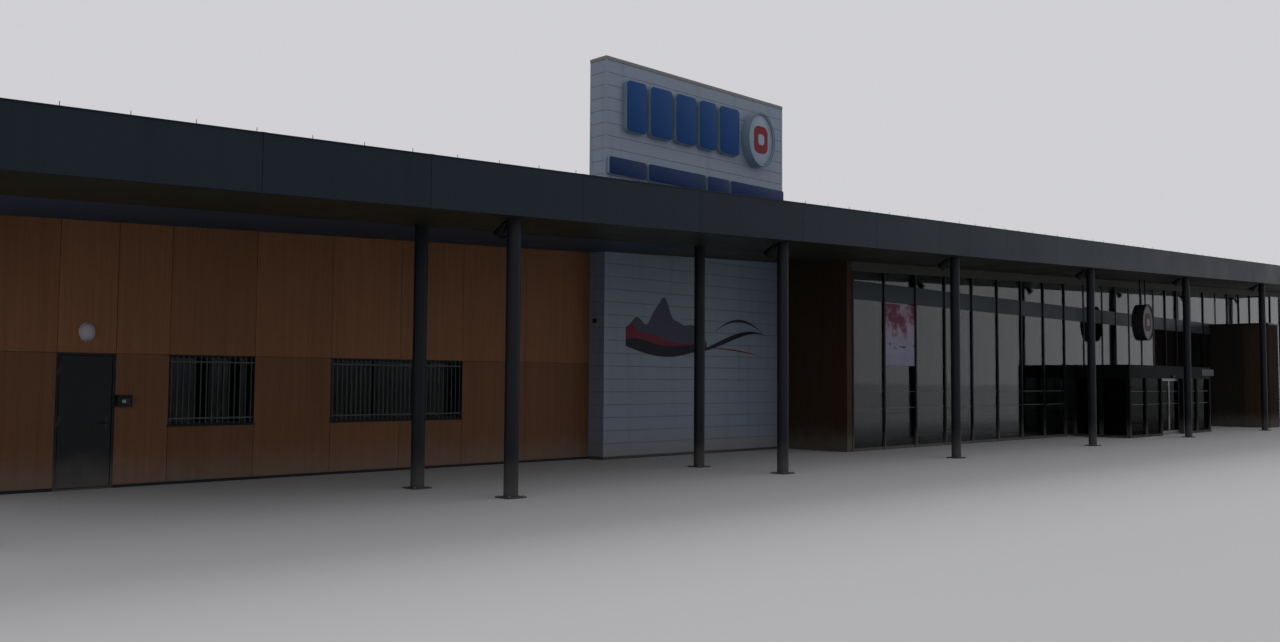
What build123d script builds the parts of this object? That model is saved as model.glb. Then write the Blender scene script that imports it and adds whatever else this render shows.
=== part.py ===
from build123d import *
from math import atan2, cos, degrees, radians, sin
import os

# Single-storey supermarket as a 1:2 scale model: every length is a model
# length in millimetres, half the real one. X runs along the front to the
# east, Y into the building, Z up. The origin is under the middle of the
# whole. Depths are counted from the face of the front fascia.

# Column grid
WEST_OVERHANG = 125.0
BAYS = (3607.0, 3340.0, 3340.0, 3880.0, 3880.0, 4195.0, 3800.0, 4008.0)
EAST_OVERHANG = 175.0
COLUMN_RADIUS = 56.0
COLUMN_LINE = 200.0
REAR_COLUMN_LINE = 1275.0
REAR_BAYS = (3490.0, 3440.0)
BASE_PLATE = 170.0
BASE_PLATE_THICKNESS = 10.0

# Depths of the planes behind the fascia
VESTIBULE_FRONT = 700.0
GLASS_LINE = 1650.0
TOWER_FACE = 2650.0
WOOD_FACE = 2900.0
STORE_DEPTH = 13500.0

# Roof edge
ROOF_RISE = 0.040
FASCIA_FOOT = 1965.0
FASCIA_HEIGHT = 370.0
FASCIA_THICKNESS = 12.0
FASCIA_RETURN = 50.0
FASCIA_JOINT = 3.0
FASCIA_WEST_PANELS = (1602.0, 1236.0, 1417.0, 1380.0, 1500.0, 1290.0, 1310.0, 1600.0, 1430.0)
FASCIA_PANEL = 1400.0
COPING_LIP = 8.0
COPING_THICKNESS = 6.0
UPSTAND_WIDTH = 70.0
UPSTAND_HEIGHT = 45.0
DECK_THICKNESS = 60.0

# Canopy lining and beams
SOFFIT_RISE = 0.038
SOFFIT_THICKNESS = 10.0
SOFFIT_SPLIT = 1350.0
SOFFIT_GAP = 8.0
SOFFIT_JOINT = 3.0
COLUMN_HOLE_CLEARANCE = 3.0
COLUMN_HOLE_SIDE_COUNT = 16
EDGE_BEAM_WIDTH = 90.0
EDGE_BEAM_FOOT = 40.0
CROSS_BEAM_WIDTH = 70.0
CROSS_BEAM_HEIGHT = 120.0

# Outer walls and floor
WALL = 100.0
FLOOR_THICKNESS = 20.0

# Wood front
CLADDING = 10.0
CLADDING_JOINT = 4.0
CLADDING_BASE = 25.0
CLADDING_TOP_COVER = 15.0
PANEL_WIDTH = 750.0
LAST_PANEL_WIDTH = 930.0
OPENING_HEAD = 1080.0

# Service door
DOOR_FROM_FIRST_COLUMN = 1235.0
DOOR_WIDTH = 443.0
DOOR_FRAME_WIDTH = 18.0
DOOR_FRAME_DEPTH = 60.0
DOOR_THRESHOLD = 14.0
LEAF_THICKNESS = 25.0
LEAF_GAP = 5.0
LOCK_GAP = 7.0
HINGE_RADIUS = 6.0
HINGE_CLEARANCE = 0.3
HINGE_KNUCKLE = 38.0
HINGE_WING = 16.0
HINGE_WING_THICKNESS = 3.0
HINGES = 3
HINGE_EDGE = 110.0
HANDLE_HEIGHT = 525.0
HANDLE_FROM_EDGE = 35.0
HANDLE_RADIUS = 5.0
HANDLE_SIDE_COUNT = 8
HANDLE_REACH = 24.0
HANDLE_LENGTH = 65.0
HANDLE_PLATE_WIDTH = 20.0
HANDLE_PLATE_HEIGHT = 110.0
HANDLE_PLATE_THICKNESS = 4.0

# Things on the wood front
KEYPAD_FROM_DOOR = 5.0
KEYPAD_WIDTH = 118.0
KEYPAD_HEIGHT = 88.0
KEYPAD_FOOT = 653.0
KEYPAD_DEPTH = 45.0
LAMP_FROM_DOOR = 214.0
LAMP_HEIGHT = 1249.0
LAMP_HALF_WIDTH = 61.0
LAMP_HALF_HEIGHT = 75.0
LAMP_RIM = 12.0
LAMP_RIM_STEP = 6.0
LAMP_COVER = 40.0
LAMP_COVER_TAPER = 22.0
LAMP_SIDE_COUNT = 24

# Windows in the wood front
FIRST_WINDOW = 2108.0
FIRST_WINDOW_WIDTH = 750.0
FIRST_WINDOW_PANES = 2
SECOND_WINDOW = 3605.0
SECOND_WINDOW_WIDTH = 1490.0
SECOND_WINDOW_PANES = 3
WINDOW_SILL = 490.0
WINDOW_RECESS = 62.0
WINDOW_FRAME = 22.0
WINDOW_FRAME_DEPTH = 35.0
WINDOW_GLASS = 10.0

# Sign tower
TOWER_FROM_FIRST_COLUMN = 6855.0
TOWER_WIDTH = 3250.0
TOWER_HEIGHT = 4560.0
TOWER_SKIN = 40.0
TOWER_COPING = 40.0
TOWER_COPING_LIP = 8.0
TOWER_POST = 60.0
TOWER_POSTS = 4
TOWER_ROOF_CLEARANCE = 2.0
INFILL_WIDTH = 55.0
INFILL_THICKNESS = 100.0

# Signs on the tower
OVAL_HALF_WIDTH = 272.0
OVAL_HALF_HEIGHT = 356.0
OVAL_THICKNESS = 130.0
OVAL_RIM = 24.0
OVAL_RECESS = 25.0
OVAL_FROM_WEST = 2665.0
OVAL_FROM_TOP = 525.0
WORD_FROM_WEST = 268.0
WORD_BLOCK_WIDTHS = (328.0, 380.0, 367.0, 317.0, 380.0)
WORD_BLOCK_GAP = 61.0
WORD_BLOCK_HEIGHT = 602.0
WORD_BLOCK_CORNER = 60.0
WORD_FROM_TOP = 798.0
WORD_THICKNESS = 65.0
LINE_FROM_WEST = 15.0
LINE_BLOCK_WIDTHS = (600.0, 1005.0, 410.0, 1080.0)
LINE_BLOCK_GAP = 40.0
LINE_BLOCK_HEIGHT = 205.0
LINE_BLOCK_CORNER = 30.0
LINE_FROM_TOP = 1325.0
LINE_THICKNESS = 45.0

# Glass hall
RETURN_WALL = 115.0
FIRST_PANE = 755.0
MULLION_PITCH = 790.0
WIDE_MULLION_COUNT = 10
ENTRANCE_PITCH = 609.0
ENTRANCE_MODULES = 6
MULLION_WIDTH = 30.0
MULLION_DEPTH = 75.0
MULLION_CAP = 10.0
HALL_SILL = 40.0
HALL_HEAD_DROP = 62.0
HALL_GLASS = 12.0
BAND_FOOT = 1960.0
BAND_HEIGHT = 240.0
BAND_THICKNESS = 20.0
HEAD_WALL = 60.0

# Entrance vestibule
VESTIBULE_WEST = 16850.0
VESTIBULE_WIDTH = 3890.0
VESTIBULE_HEIGHT = 1200.0
VESTIBULE_BAND = 190.0
VESTIBULE_POST = 60.0
VESTIBULE_ROOF = 20.0
VESTIBULE_SIDE_PANES = 2
VESTIBULE_SILL = 40.0
FRONT_LIGHT_COUNT = 2
VESTIBULE_GLASS = 10.0
DOORWAY_WIDTH = 1000.0

# Sliding entrance leaves
SLIDE_GAP = 10.0
SLIDE_THICKNESS = 24.0
SLIDE_STILE = 28.0
SLIDE_RAIL = 44.0
SLIDE_LAP = 12.0
SLIDE_GLASS = 8.0
SLIDE_FLOOR_GAP = 6.0
SLIDE_MEETING_GAP = 6.0
TRACK_WEB = 4.0
TRACK_LIP_REACH = 20.0
TRACK_LIP_THICKNESS = 6.0
TRACK_RISE = 45.0
TRACK_HEIGHT = 100.0
WHEEL_RADIUS = 12.0
WHEEL_WIDTH = 9.0
WHEEL_CLEARANCE = 0.3
AXLE = 7.0
HANGER_WIDTH = 40.0
HANGER_THICKNESS = 6.0
HANGER_CLEARANCE = 6.0
HANGER_FROM_END = 80.0
HANGER_LAP = 22.0
HANGER_TAB = 11.0

# Oval sign over the entrance and plate beside it
DRUM_HALF_WIDTH = 262.0
DRUM_HALF_HEIGHT = 325.0
DRUM_THICKNESS = 200.0
DRUM_CENTRE_DEPTH = 1195.0
DRUM_HEIGHT = 1995.0
DRUM_RIM = 22.0
DRUM_RECESS = 20.0
HANGER_ROD_RADIUS = 12.0
HANGER_ROD_SPACING = 240.0
PLATE_WIDTH = 640.0
PLATE_OVERHANG = 170.0
PLATE_HEIGHT = 120.0
PLATE_THICKNESS = 8.0
PLATE_FOOT = 1050.0

# Brown box beside the entrance
BOX_WEST = 23770.0
BOX_WIDTH = 660.0
BOX_FRONT = 525.0
BOX_HEIGHT = 2175.0
BOX_WALL = 40.0
BOX_LID = 30.0

# Spotlights on the front columns
SPOT_ARM_LENGTH = 50.0
SPOT_ARM = 16.0
SPOT_DROP = 28.0
SPOT_RADIUS = 48.0
SPOT_NECK_RADIUS = 20.0
SPOT_LENGTH = 130.0
SPOT_TILT = 47.0
SPOT_SIDE_COUNT = 12

# Overall layout worked out from the sizes above
LENGTH = 2 * COPING_LIP + WEST_OVERHANG + sum(BAYS) + EAST_OVERHANG
DEPTH = 2 * COPING_LIP + WOOD_FACE + STORE_DEPTH
WEST = -LENGTH / 2 + COPING_LIP
EAST = LENGTH / 2 - COPING_LIP
FRONT = -DEPTH / 2 + COPING_LIP
REAR = DEPTH / 2 - COPING_LIP
FIRST_COLUMN = WEST + WEST_OVERHANG
WALL_WEST = WEST + FASCIA_THICKNESS
WALL_EAST = EAST - FASCIA_THICKNESS
WALL_REAR = REAR - FASCIA_THICKNESS
DECK_FRONT = FRONT + FASCIA_THICKNESS
DECK_TOP = FASCIA_HEIGHT - UPSTAND_HEIGHT
DECK_FOOT = DECK_TOP - DECK_THICKNESS
WOOD_Y = FRONT + WOOD_FACE
WALL_Y = WOOD_Y + CLADDING
WALL_INNER_Y = WALL_Y + WALL
TOWER_Y = FRONT + TOWER_FACE
TOWER_BACK_Y = WALL_Y
GLASS_Y = FRONT + GLASS_LINE
TOWER_WEST = FIRST_COLUMN + TOWER_FROM_FIRST_COLUMN
TOWER_EAST = TOWER_WEST + TOWER_WIDTH
RETURN_WEST = TOWER_EAST + INFILL_WIDTH
HALL_WEST = RETURN_WEST + RETURN_WALL
OVAL_HEIGHT = TOWER_HEIGHT - OVAL_FROM_TOP
WORD_FOOT = TOWER_HEIGHT - WORD_FROM_TOP
LINE_FOOT = TOWER_HEIGHT - LINE_FROM_TOP
DOOR_WEST = FIRST_COLUMN + DOOR_FROM_FIRST_COLUMN
DOOR_EAST = DOOR_WEST + DOOR_WIDTH
ENTRY_WEST = FIRST_COLUMN + VESTIBULE_WEST
ENTRY_EAST = ENTRY_WEST + VESTIBULE_WIDTH
ENTRY_MIDDLE = (ENTRY_WEST + ENTRY_EAST) / 2
ENTRY_Y = FRONT + VESTIBULE_FRONT
BAND_Z = VESTIBULE_HEIGHT - VESTIBULE_ROOF - VESTIBULE_BAND
BOX_X = FIRST_COLUMN + BOX_WEST
BOX_END = BOX_X + BOX_WIDTH
LEAF_FRONT_Y = WOOD_Y + HINGE_WING_THICKNESS
HINGE_X = DOOR_WEST + DOOR_FRAME_WIDTH + LEAF_GAP
HINGE_Y = LEAF_FRONT_Y - HINGE_RADIUS


def column_axes(bays):
    """Places along X of a row of columns that starts at the first one."""
    return [FIRST_COLUMN + sum(bays[:i]) for i in range(len(bays) + 1)]


def beam_axes():
    """Over the rear columns where there are some, and over the front columns elsewhere."""
    rear = column_axes(REAR_BAYS)
    return rear + column_axes(BAYS)[len(rear):]


def foot(x):
    """Height of the fascia's lower edge, which rises steadily to the east."""
    return FASCIA_FOOT + ROOF_RISE * (x - WEST)


def soffit(x, depth):
    """Height of the canopy lining's underside, which also rises inwards."""
    return foot(x) + SOFFIT_RISE * depth


def block(x0, x1, y0, y1, z0, z1):
    return Pos((x0 + x1) / 2, (y0 + y1) / 2, (z0 + z1) / 2) * Box(x1 - x0, y1 - y0, z1 - z0)


def prism(points, direction):
    """A flat outline of corner points carried along a straight direction."""
    outline = Wire.make_polygon([Vector(*p) for p in points], close=True)
    return Solid.extrude(Face(outline), Vector(*direction))


def along_roof(profile, x0, x1):
    """A (y, height over the fascia foot) profile carried east along the roof's rise."""
    start = [(x0, y, foot(x0) + h) for y, h in profile]
    return prism(start, (x1 - x0, 0, ROOF_RISE * (x1 - x0)))


def roof_bar(x0, x1, y0, y1, low, high):
    return along_roof([(y0, low), (y1, low), (y1, high), (y0, high)], x0, x1)


def front_wall(x0, x1, y0, y1, z0, over_foot):
    """A wall along the front with a level foot and a top that follows the roof."""
    ring = [(x0, y0, z0), (x1, y0, z0),
            (x1, y0, foot(x1) + over_foot), (x0, y0, foot(x0) + over_foot)]
    return prism(ring, (0, y1 - y0, 0))


def disc(x, y0, z, radius, length):
    """A cylinder lying along Y from the plane y0 inwards."""
    return Pos(x, y0 + length / 2, z) * Rot(90, 0, 0) * Cylinder(radius, length)


def oval(x, y0, z, half_width, half_height, length):
    """An upright elliptical plate from the plane y0 inwards."""
    plane = Plane(origin=(x, y0, z), x_dir=(1, 0, 0), z_dir=(0, -1, 0))
    return extrude(plane * Ellipse(half_width, half_height), -length)


def flat_cone(foot_radius, top_radius, length, sides):
    """A flat-sided cone stump along Z; its radii run to the middles of its flats."""
    slope = degrees(atan2(foot_radius - top_radius, length))
    return extrude(RegularPolygon(foot_radius, sides, major_radius=False), length, taper=slope)


def oval_cone(half_width, half_height, length, inset, sides):
    """A flat-sided oval stump along Z that narrows by the inset all round."""
    turns = [radians(360 * i / sides) for i in range(sides)]
    corners = [(half_width * cos(a), half_height * sin(a)) for a in turns]
    return extrude(Polygon(*corners), length, taper=degrees(atan2(inset, length)))


def rounded_block(x0, z0, width, height, corner, y_back, thickness):
    """A plate with round corners that stands out from the plane y_back."""
    plane = Plane(origin=(x0 + width / 2, y_back, z0 + height / 2), x_dir=(1, 0, 0), z_dir=(0, -1, 0))
    return extrude(plane * RectangleRounded(width, height, corner), thickness)


def save(name, solids):
    parts = []
    for solid in solids:
        parts.extend(solid.solids())
    export_step(Compound(parts), "parts/" + name + ".step")


# Floor and outer walls
def floor_slab():
    inner_west = WALL_WEST + WALL
    inner_east = WALL_EAST - WALL
    top = FLOOR_THICKNESS
    store = block(inner_west, inner_east, WALL_INNER_Y, WALL_REAR - WALL, 0, top)
    hall = block(HALL_WEST, inner_east, GLASS_Y + MULLION_DEPTH, WALL_INNER_Y, 0, top)
    entry = block(ENTRY_WEST + VESTIBULE_POST, ENTRY_EAST - VESTIBULE_POST,
                  ENTRY_Y + VESTIBULE_POST, GLASS_Y + MULLION_DEPTH, 0, top)
    return [store + hall + entry]


def side_walls():
    west_top = foot(WALL_WEST) + DECK_FOOT
    west_rise = ROOF_RISE * WALL
    east_top = foot(WALL_EAST - WALL) + DECK_FOOT
    west_ring = [(WALL_WEST, WALL_Y, 0), (WALL_WEST + WALL, WALL_Y, 0),
                 (WALL_WEST + WALL, WALL_Y, west_top + west_rise), (WALL_WEST, WALL_Y, west_top)]
    east_ring = [(WALL_EAST - WALL, GLASS_Y, 0), (WALL_EAST, GLASS_Y, 0),
                 (WALL_EAST, GLASS_Y, east_top + west_rise), (WALL_EAST - WALL, GLASS_Y, east_top)]
    return (prism(west_ring, (0, WALL_REAR - WALL_Y, 0)),
            prism(east_ring, (0, WALL_REAR - GLASS_Y, 0)))


def rear_wall():
    return [front_wall(WALL_WEST + WALL, WALL_EAST - WALL, WALL_REAR - WALL, WALL_REAR, 0, DECK_FOOT)]


# Roof
def roof_deck():
    deck = roof_bar(WALL_WEST, WALL_EAST, DECK_FRONT, WALL_REAR, DECK_FOOT, DECK_TOP)
    gap = TOWER_ROOF_CLEARANCE
    hole = block(TOWER_WEST - gap, TOWER_EAST + gap, TOWER_Y - gap, TOWER_BACK_Y + gap,
                 FASCIA_FOOT, TOWER_HEIGHT)
    return [deck - hole]


def roof_upstand():
    """The low kerb round the deck that carries the coping."""
    low, high = DECK_TOP, DECK_TOP + UPSTAND_HEIGHT
    front = roof_bar(WALL_WEST, WALL_EAST, DECK_FRONT, DECK_FRONT + UPSTAND_WIDTH, low, high)
    rear = roof_bar(WALL_WEST, WALL_EAST, WALL_REAR - UPSTAND_WIDTH, WALL_REAR, low, high)
    west = roof_bar(WALL_WEST, WALL_WEST + UPSTAND_WIDTH, DECK_FRONT + UPSTAND_WIDTH,
                    WALL_REAR - UPSTAND_WIDTH, low, high)
    east = roof_bar(WALL_EAST - UPSTAND_WIDTH, WALL_EAST, DECK_FRONT + UPSTAND_WIDTH,
                    WALL_REAR - UPSTAND_WIDTH, low, high)
    return [front, rear, west, east]


def roof_coping():
    low, high = FASCIA_HEIGHT, FASCIA_HEIGHT + COPING_THICKNESS
    width = FASCIA_THICKNESS + UPSTAND_WIDTH
    front = roof_bar(WEST - COPING_LIP, EAST + COPING_LIP, FRONT - COPING_LIP, FRONT + width, low, high)
    rear = roof_bar(WEST - COPING_LIP, EAST + COPING_LIP, REAR - width, REAR + COPING_LIP, low, high)
    west = roof_bar(WEST - COPING_LIP, WEST + width, FRONT + width, REAR - width, low, high)
    east = roof_bar(EAST - width, EAST + COPING_LIP, FRONT + width, REAR - width, low, high)
    return [front, rear, west, east]


def panel_joints():
    """Places of the upright fascia joints: uneven panels in the west, then even ones."""
    joints = [WEST]
    for width in FASCIA_WEST_PANELS:
        joints.append(joints[-1] + width)
    while joints[-1] + FASCIA_PANEL < EAST:
        joints.append(joints[-1] + FASCIA_PANEL)
    return joints + [EAST]


def fascia_front():
    """Pressed panels: an upright face with a return under the lining's edge."""
    inner = FRONT + FASCIA_THICKNESS
    profile = [(FRONT, 0), (FRONT + FASCIA_RETURN, 0), (FRONT + FASCIA_RETURN, FASCIA_THICKNESS),
               (inner, FASCIA_THICKNESS), (inner, FASCIA_HEIGHT), (FRONT, FASCIA_HEIGHT)]
    joints = panel_joints()
    half = FASCIA_JOINT / 2
    return [along_roof(profile, a + half, b - half) for a, b in zip(joints, joints[1:])]


def fascia_sides():
    """The same band carried round the two ends and the rear."""
    y0, y1 = FRONT + FASCIA_RETURN + FASCIA_JOINT, REAR - FASCIA_THICKNESS
    rear = roof_bar(WEST, EAST, y1, REAR, 0, FASCIA_HEIGHT)
    west = roof_bar(WEST, WALL_WEST, y0, y1, 0, FASCIA_HEIGHT)
    east = roof_bar(WALL_EAST, EAST, y0, y1, 0, FASCIA_HEIGHT)
    return [rear + west + east]


# Canopy lining, beams and columns
def column_hole(x, line):
    """The flat-sided cut round a column, its flats just clear of the tube."""
    radius = COLUMN_RADIUS + COLUMN_HOLE_CLEARANCE
    outline = RegularPolygon(radius, COLUMN_HOLE_SIDE_COUNT, major_radius=False)
    return extrude(Pos(x, FRONT + line, foot(x)) * outline, FASCIA_HEIGHT, both=True)


def lining(x0, x1, depth0, depth1):
    """One sheet of the sloping canopy lining between two depths."""
    low0, low1 = SOFFIT_RISE * depth0, SOFFIT_RISE * depth1
    profile = [(FRONT + depth0, low0), (FRONT + depth1, low1),
               (FRONT + depth1, low1 + SOFFIT_THICKNESS), (FRONT + depth0, low0 + SOFFIT_THICKNESS)]
    return along_roof(profile, x0, x1)


def canopy_lining():
    start = FASCIA_RETURN
    west = lining(WALL_WEST, TOWER_WEST - SOFFIT_JOINT, start, SOFFIT_SPLIT)
    middle = lining(TOWER_WEST, RETURN_WEST, start, TOWER_FACE)
    hall = lining(RETURN_WEST + SOFFIT_JOINT, WALL_EAST, start, GLASS_LINE)
    for x in column_axes(BAYS):
        hole = column_hole(x, COLUMN_LINE)
        west, middle, hall = west - hole, middle - hole, hall - hole
    for x in column_axes(REAR_BAYS):
        hole = column_hole(x, REAR_COLUMN_LINE)
        west, middle = west - hole, middle - hole
    return [west, middle, hall]


def rear_lining():
    return [lining(WALL_WEST, TOWER_WEST, SOFFIT_SPLIT + SOFFIT_GAP, WOOD_FACE)]


def edge_beam():
    y0 = FRONT + COLUMN_LINE - EDGE_BEAM_WIDTH / 2
    return [roof_bar(WALL_WEST, WALL_EAST, y0, y0 + EDGE_BEAM_WIDTH, EDGE_BEAM_FOOT, DECK_FOOT)]


def cross_beams():
    """Beams from the edge beam back to the wall, tower or glass."""
    start = FRONT + COLUMN_LINE + EDGE_BEAM_WIDTH / 2
    beams = []
    for x in beam_axes():
        end = GLASS_Y
        if x < TOWER_WEST - CROSS_BEAM_WIDTH:
            end = WALL_Y
        elif x < TOWER_EAST:
            end = TOWER_Y
        half = CROSS_BEAM_WIDTH / 2
        top = DECK_FOOT
        beams.append(roof_bar(x - half, x + half, start, end, top - CROSS_BEAM_HEIGHT, top))
    return beams


def column(x, line, over_foot):
    """A round tube on a square base plate, cut at the top to the roof's rise."""
    y = FRONT + line
    tall = foot(x) + over_foot
    tube = Pos(x, y, (tall + COLUMN_RADIUS) / 2) * Cylinder(COLUMN_RADIUS, tall + COLUMN_RADIUS)
    half = BASE_PLATE / 2
    plate = block(x - half, x + half, y - half, y + half, 0, BASE_PLATE_THICKNESS)
    reach = 2 * COLUMN_RADIUS
    above = roof_bar(x - reach, x + reach, y - reach, y + reach, over_foot, over_foot + reach)
    return (tube - above) + plate


def front_columns():
    return [column(x, COLUMN_LINE, EDGE_BEAM_FOOT) for x in column_axes(BAYS)]


def rear_columns():
    top = DECK_FOOT - CROSS_BEAM_HEIGHT
    return [column(x, REAR_COLUMN_LINE, top) for x in column_axes(REAR_BAYS)]


def lamp_head():
    """A flat-sided can that widens from its neck down to its mouth."""
    can = flat_cone(SPOT_RADIUS, SPOT_NECK_RADIUS, SPOT_LENGTH, SPOT_SIDE_COUNT)
    return Pos(0, 0, -SPOT_LENGTH) * can


def column_spotlights():
    """On each front column a bracket towards the wall with a tilted round lamp."""
    lamps = []
    for x in column_axes(BAYS):
        y0 = FRONT + COLUMN_LINE + COLUMN_RADIUS
        z = soffit(x, COLUMN_LINE) - SPOT_DROP
        arm = block(x - SPOT_ARM / 2, x + SPOT_ARM / 2, y0, y0 + SPOT_ARM_LENGTH, z, z + SPOT_ARM)
        head = (Pos(x, y0 + SPOT_ARM_LENGTH - SPOT_ARM, z + SPOT_ARM / 2) * Rot(SPOT_TILT, 0, 0)
                * lamp_head())
        lamps.append(arm + head)
    return lamps


# Wood front with its door and windows
def window_spans():
    first = FIRST_COLUMN + FIRST_WINDOW
    second = FIRST_COLUMN + SECOND_WINDOW
    return [(first, first + FIRST_WINDOW_WIDTH, FIRST_WINDOW_PANES),
            (second, second + SECOND_WINDOW_WIDTH, SECOND_WINDOW_PANES)]


def structural_walls():
    """The wall behind the panels, split beside and over the service door."""
    west = front_wall(WALL_WEST + WALL, DOOR_WEST, WALL_Y, WALL_INNER_Y, 0, DECK_FOOT)
    over = front_wall(DOOR_WEST, DOOR_EAST, WALL_Y, WALL_INNER_Y, OPENING_HEAD, DECK_FOOT)
    east = front_wall(DOOR_EAST, RETURN_WEST, WALL_Y, WALL_INNER_Y, 0, DECK_FOOT)
    for x0, x1, panes in window_spans():
        east = east - block(x0, x1, WALL_Y, WALL_INNER_Y, WINDOW_SILL, OPENING_HEAD)
    return west, over, east


def panel_edges():
    """Upright joints of the wood panels, set by the door and the windows."""
    (a0, a1, na), (b0, b1, nb) = window_spans()
    return [WALL_WEST, DOOR_WEST - PANEL_WIDTH, DOOR_WEST, DOOR_EAST, a0, a1, b0,
            (b0 + b1) / 2, b1, TOWER_WEST - LAST_PANEL_WIDTH, TOWER_WEST]


def wood_panels():
    edges = panel_edges()
    half = CLADDING_JOINT / 2
    top = SOFFIT_RISE * WOOD_FACE + CLADDING_TOP_COVER
    lower, upper = [], []
    for a, b in zip(edges, edges[1:]):
        x0, x1 = a + half, b - half
        upper.append(front_wall(x0, x1, WOOD_Y, WALL_Y, OPENING_HEAD + half, top))
        if a == DOOR_WEST:
            continue
        glazed = any(w0 <= a and b <= w1 for w0, w1, n in window_spans())
        high = WINDOW_SILL if glazed else OPENING_HEAD - half
        lower.append(block(x0, x1, WOOD_Y, WALL_Y, CLADDING_BASE, high))
    return lower, upper


def service_door_frame():
    y1 = LEAF_FRONT_Y + DOOR_FRAME_DEPTH
    w = DOOR_FRAME_WIDTH
    outer = block(DOOR_WEST, DOOR_EAST, LEAF_FRONT_Y, y1, 0, OPENING_HEAD)
    inner = block(DOOR_WEST + w, DOOR_EAST - w, LEAF_FRONT_Y, y1, DOOR_THRESHOLD, OPENING_HEAD - w)
    return [outer - inner]


def leaf_sides():
    """West, east, lower and upper edges of the service door's leaf."""
    return (HINGE_X, DOOR_EAST - DOOR_FRAME_WIDTH - LOCK_GAP,
            DOOR_THRESHOLD + LEAF_GAP, OPENING_HEAD - DOOR_FRAME_WIDTH - LEAF_GAP)


def service_door_leaf():
    x0, x1, z0, z1 = leaf_sides()
    return [block(x0, x1, LEAF_FRONT_Y, LEAF_FRONT_Y + LEAF_THICKNESS, z0, z1)]


def hinge_feet():
    x0, x1, z0, z1 = leaf_sides()
    step = (z1 - z0 - 2 * HINGE_EDGE) / (HINGES - 1)
    return [z0 + HINGE_EDGE + step * i - HINGE_KNUCKLE for i in range(HINGES)]


def hinge_wing(west, z0):
    """The flat flap of one hinge half, on the frame or on the leaf."""
    inner = HINGE_Y + HINGE_RADIUS
    x0, x1 = (HINGE_X - LEAF_GAP - HINGE_WING, HINGE_X) if west else (HINGE_X, HINGE_X + HINGE_WING)
    return block(x0, x1, inner - HINGE_WING_THICKNESS, inner, z0, z0 + HINGE_KNUCKLE)


def door_hinges():
    """Lower knuckles on the frame and upper knuckles on the leaf, on one axis."""
    fixed, moving = [], []
    for z0 in hinge_feet():
        base = z0 + HINGE_KNUCKLE + HINGE_CLEARANCE
        knuckle = Pos(HINGE_X, HINGE_Y, HINGE_KNUCKLE / 2) * Cylinder(HINGE_RADIUS, HINGE_KNUCKLE)
        fixed.append(Pos(0, 0, z0) * knuckle + hinge_wing(True, z0))
        moving.append(Pos(0, 0, base) * knuckle + hinge_wing(False, base))
    return fixed, moving


def handle_bar(length):
    """A flat-sided bar along Z about its own middle."""
    return extrude(RegularPolygon(HANDLE_RADIUS, HANDLE_SIDE_COUNT), length / 2, both=True)


def service_door_handle():
    """A lever on a plate, on both faces of the leaf."""
    x0, x1, z0, z1 = leaf_sides()
    xc = x1 - HANDLE_FROM_EDGE
    handles = []
    for face, out in ((LEAF_FRONT_Y, -1), (LEAF_FRONT_Y + LEAF_THICKNESS, 1)):
        ys = sorted((face, face + out * HANDLE_PLATE_THICKNESS))
        plate = block(xc - HANDLE_PLATE_WIDTH / 2, xc + HANDLE_PLATE_WIDTH / 2, ys[0], ys[1],
                      HANDLE_HEIGHT - HANDLE_PLATE_HEIGHT / 2, HANDLE_HEIGHT + HANDLE_PLATE_HEIGHT / 2)
        neck = (Pos(xc, face + out * HANDLE_REACH / 2, HANDLE_HEIGHT)
                * Rot(90, 0, 0) * handle_bar(HANDLE_REACH))
        lever = (Pos(xc - HANDLE_LENGTH / 2, face + out * HANDLE_REACH, HANDLE_HEIGHT)
                 * Rot(0, 90, 0) * handle_bar(HANDLE_LENGTH + 2 * HANDLE_RADIUS))
        handles.append(plate + neck + lever)
    return handles


def keypad_box():
    x0 = DOOR_EAST + KEYPAD_FROM_DOOR
    return [block(x0, x0 + KEYPAD_WIDTH, WOOD_Y - KEYPAD_DEPTH, WOOD_Y, KEYPAD_FOOT,
                  KEYPAD_FOOT + KEYPAD_HEIGHT)]


def bulkhead_lamp():
    """An oval wall lamp: a flat rim with a cover that narrows to its flat face."""
    x, rim_y = DOOR_WEST + LAMP_FROM_DOOR, WOOD_Y - LAMP_RIM
    rim = oval(x, rim_y, LAMP_HEIGHT, LAMP_HALF_WIDTH, LAMP_HALF_HEIGHT, LAMP_RIM)
    cover = oval_cone(LAMP_HALF_WIDTH - LAMP_RIM_STEP, LAMP_HALF_HEIGHT - LAMP_RIM_STEP, LAMP_COVER,
                      LAMP_COVER_TAPER, LAMP_SIDE_COUNT)
    return [rim + Pos(x, rim_y, LAMP_HEIGHT) * Rot(90, 0, 0) * cover]


def window_frames():
    y0 = WOOD_Y + WINDOW_RECESS
    y1 = y0 + WINDOW_FRAME_DEPTH
    frames, panes = [], []
    for x0, x1, count in window_spans():
        frame = block(x0, x1, y0, y1, WINDOW_SILL, OPENING_HEAD)
        w = WINDOW_FRAME
        clear = (x1 - x0 - w * (count + 1)) / count
        for i in range(count):
            a = x0 + w + i * (clear + w)
            z0, z1 = WINDOW_SILL + w, OPENING_HEAD - w
            frame = frame - block(a, a + clear, y0, y1, z0, z1)
            mid = (y0 + y1) / 2
            panes.append(block(a, a + clear, mid - WINDOW_GLASS / 2, mid + WINDOW_GLASS / 2, z0, z1))
        frames.append(frame)
    return frames, panes


# Sign tower
def tower_walls():
    """The tower's front sheet, and its back with both sides."""
    top = TOWER_HEIGHT
    skin = TOWER_SKIN
    y0 = TOWER_Y + skin
    front = block(TOWER_WEST, TOWER_EAST, TOWER_Y, y0, 0, top)
    outer = block(TOWER_WEST, TOWER_EAST, y0, TOWER_BACK_Y, 0, top)
    inner = block(TOWER_WEST + skin, TOWER_EAST - skin, y0, TOWER_BACK_Y - skin, 0, top)
    return front, outer - inner


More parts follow.
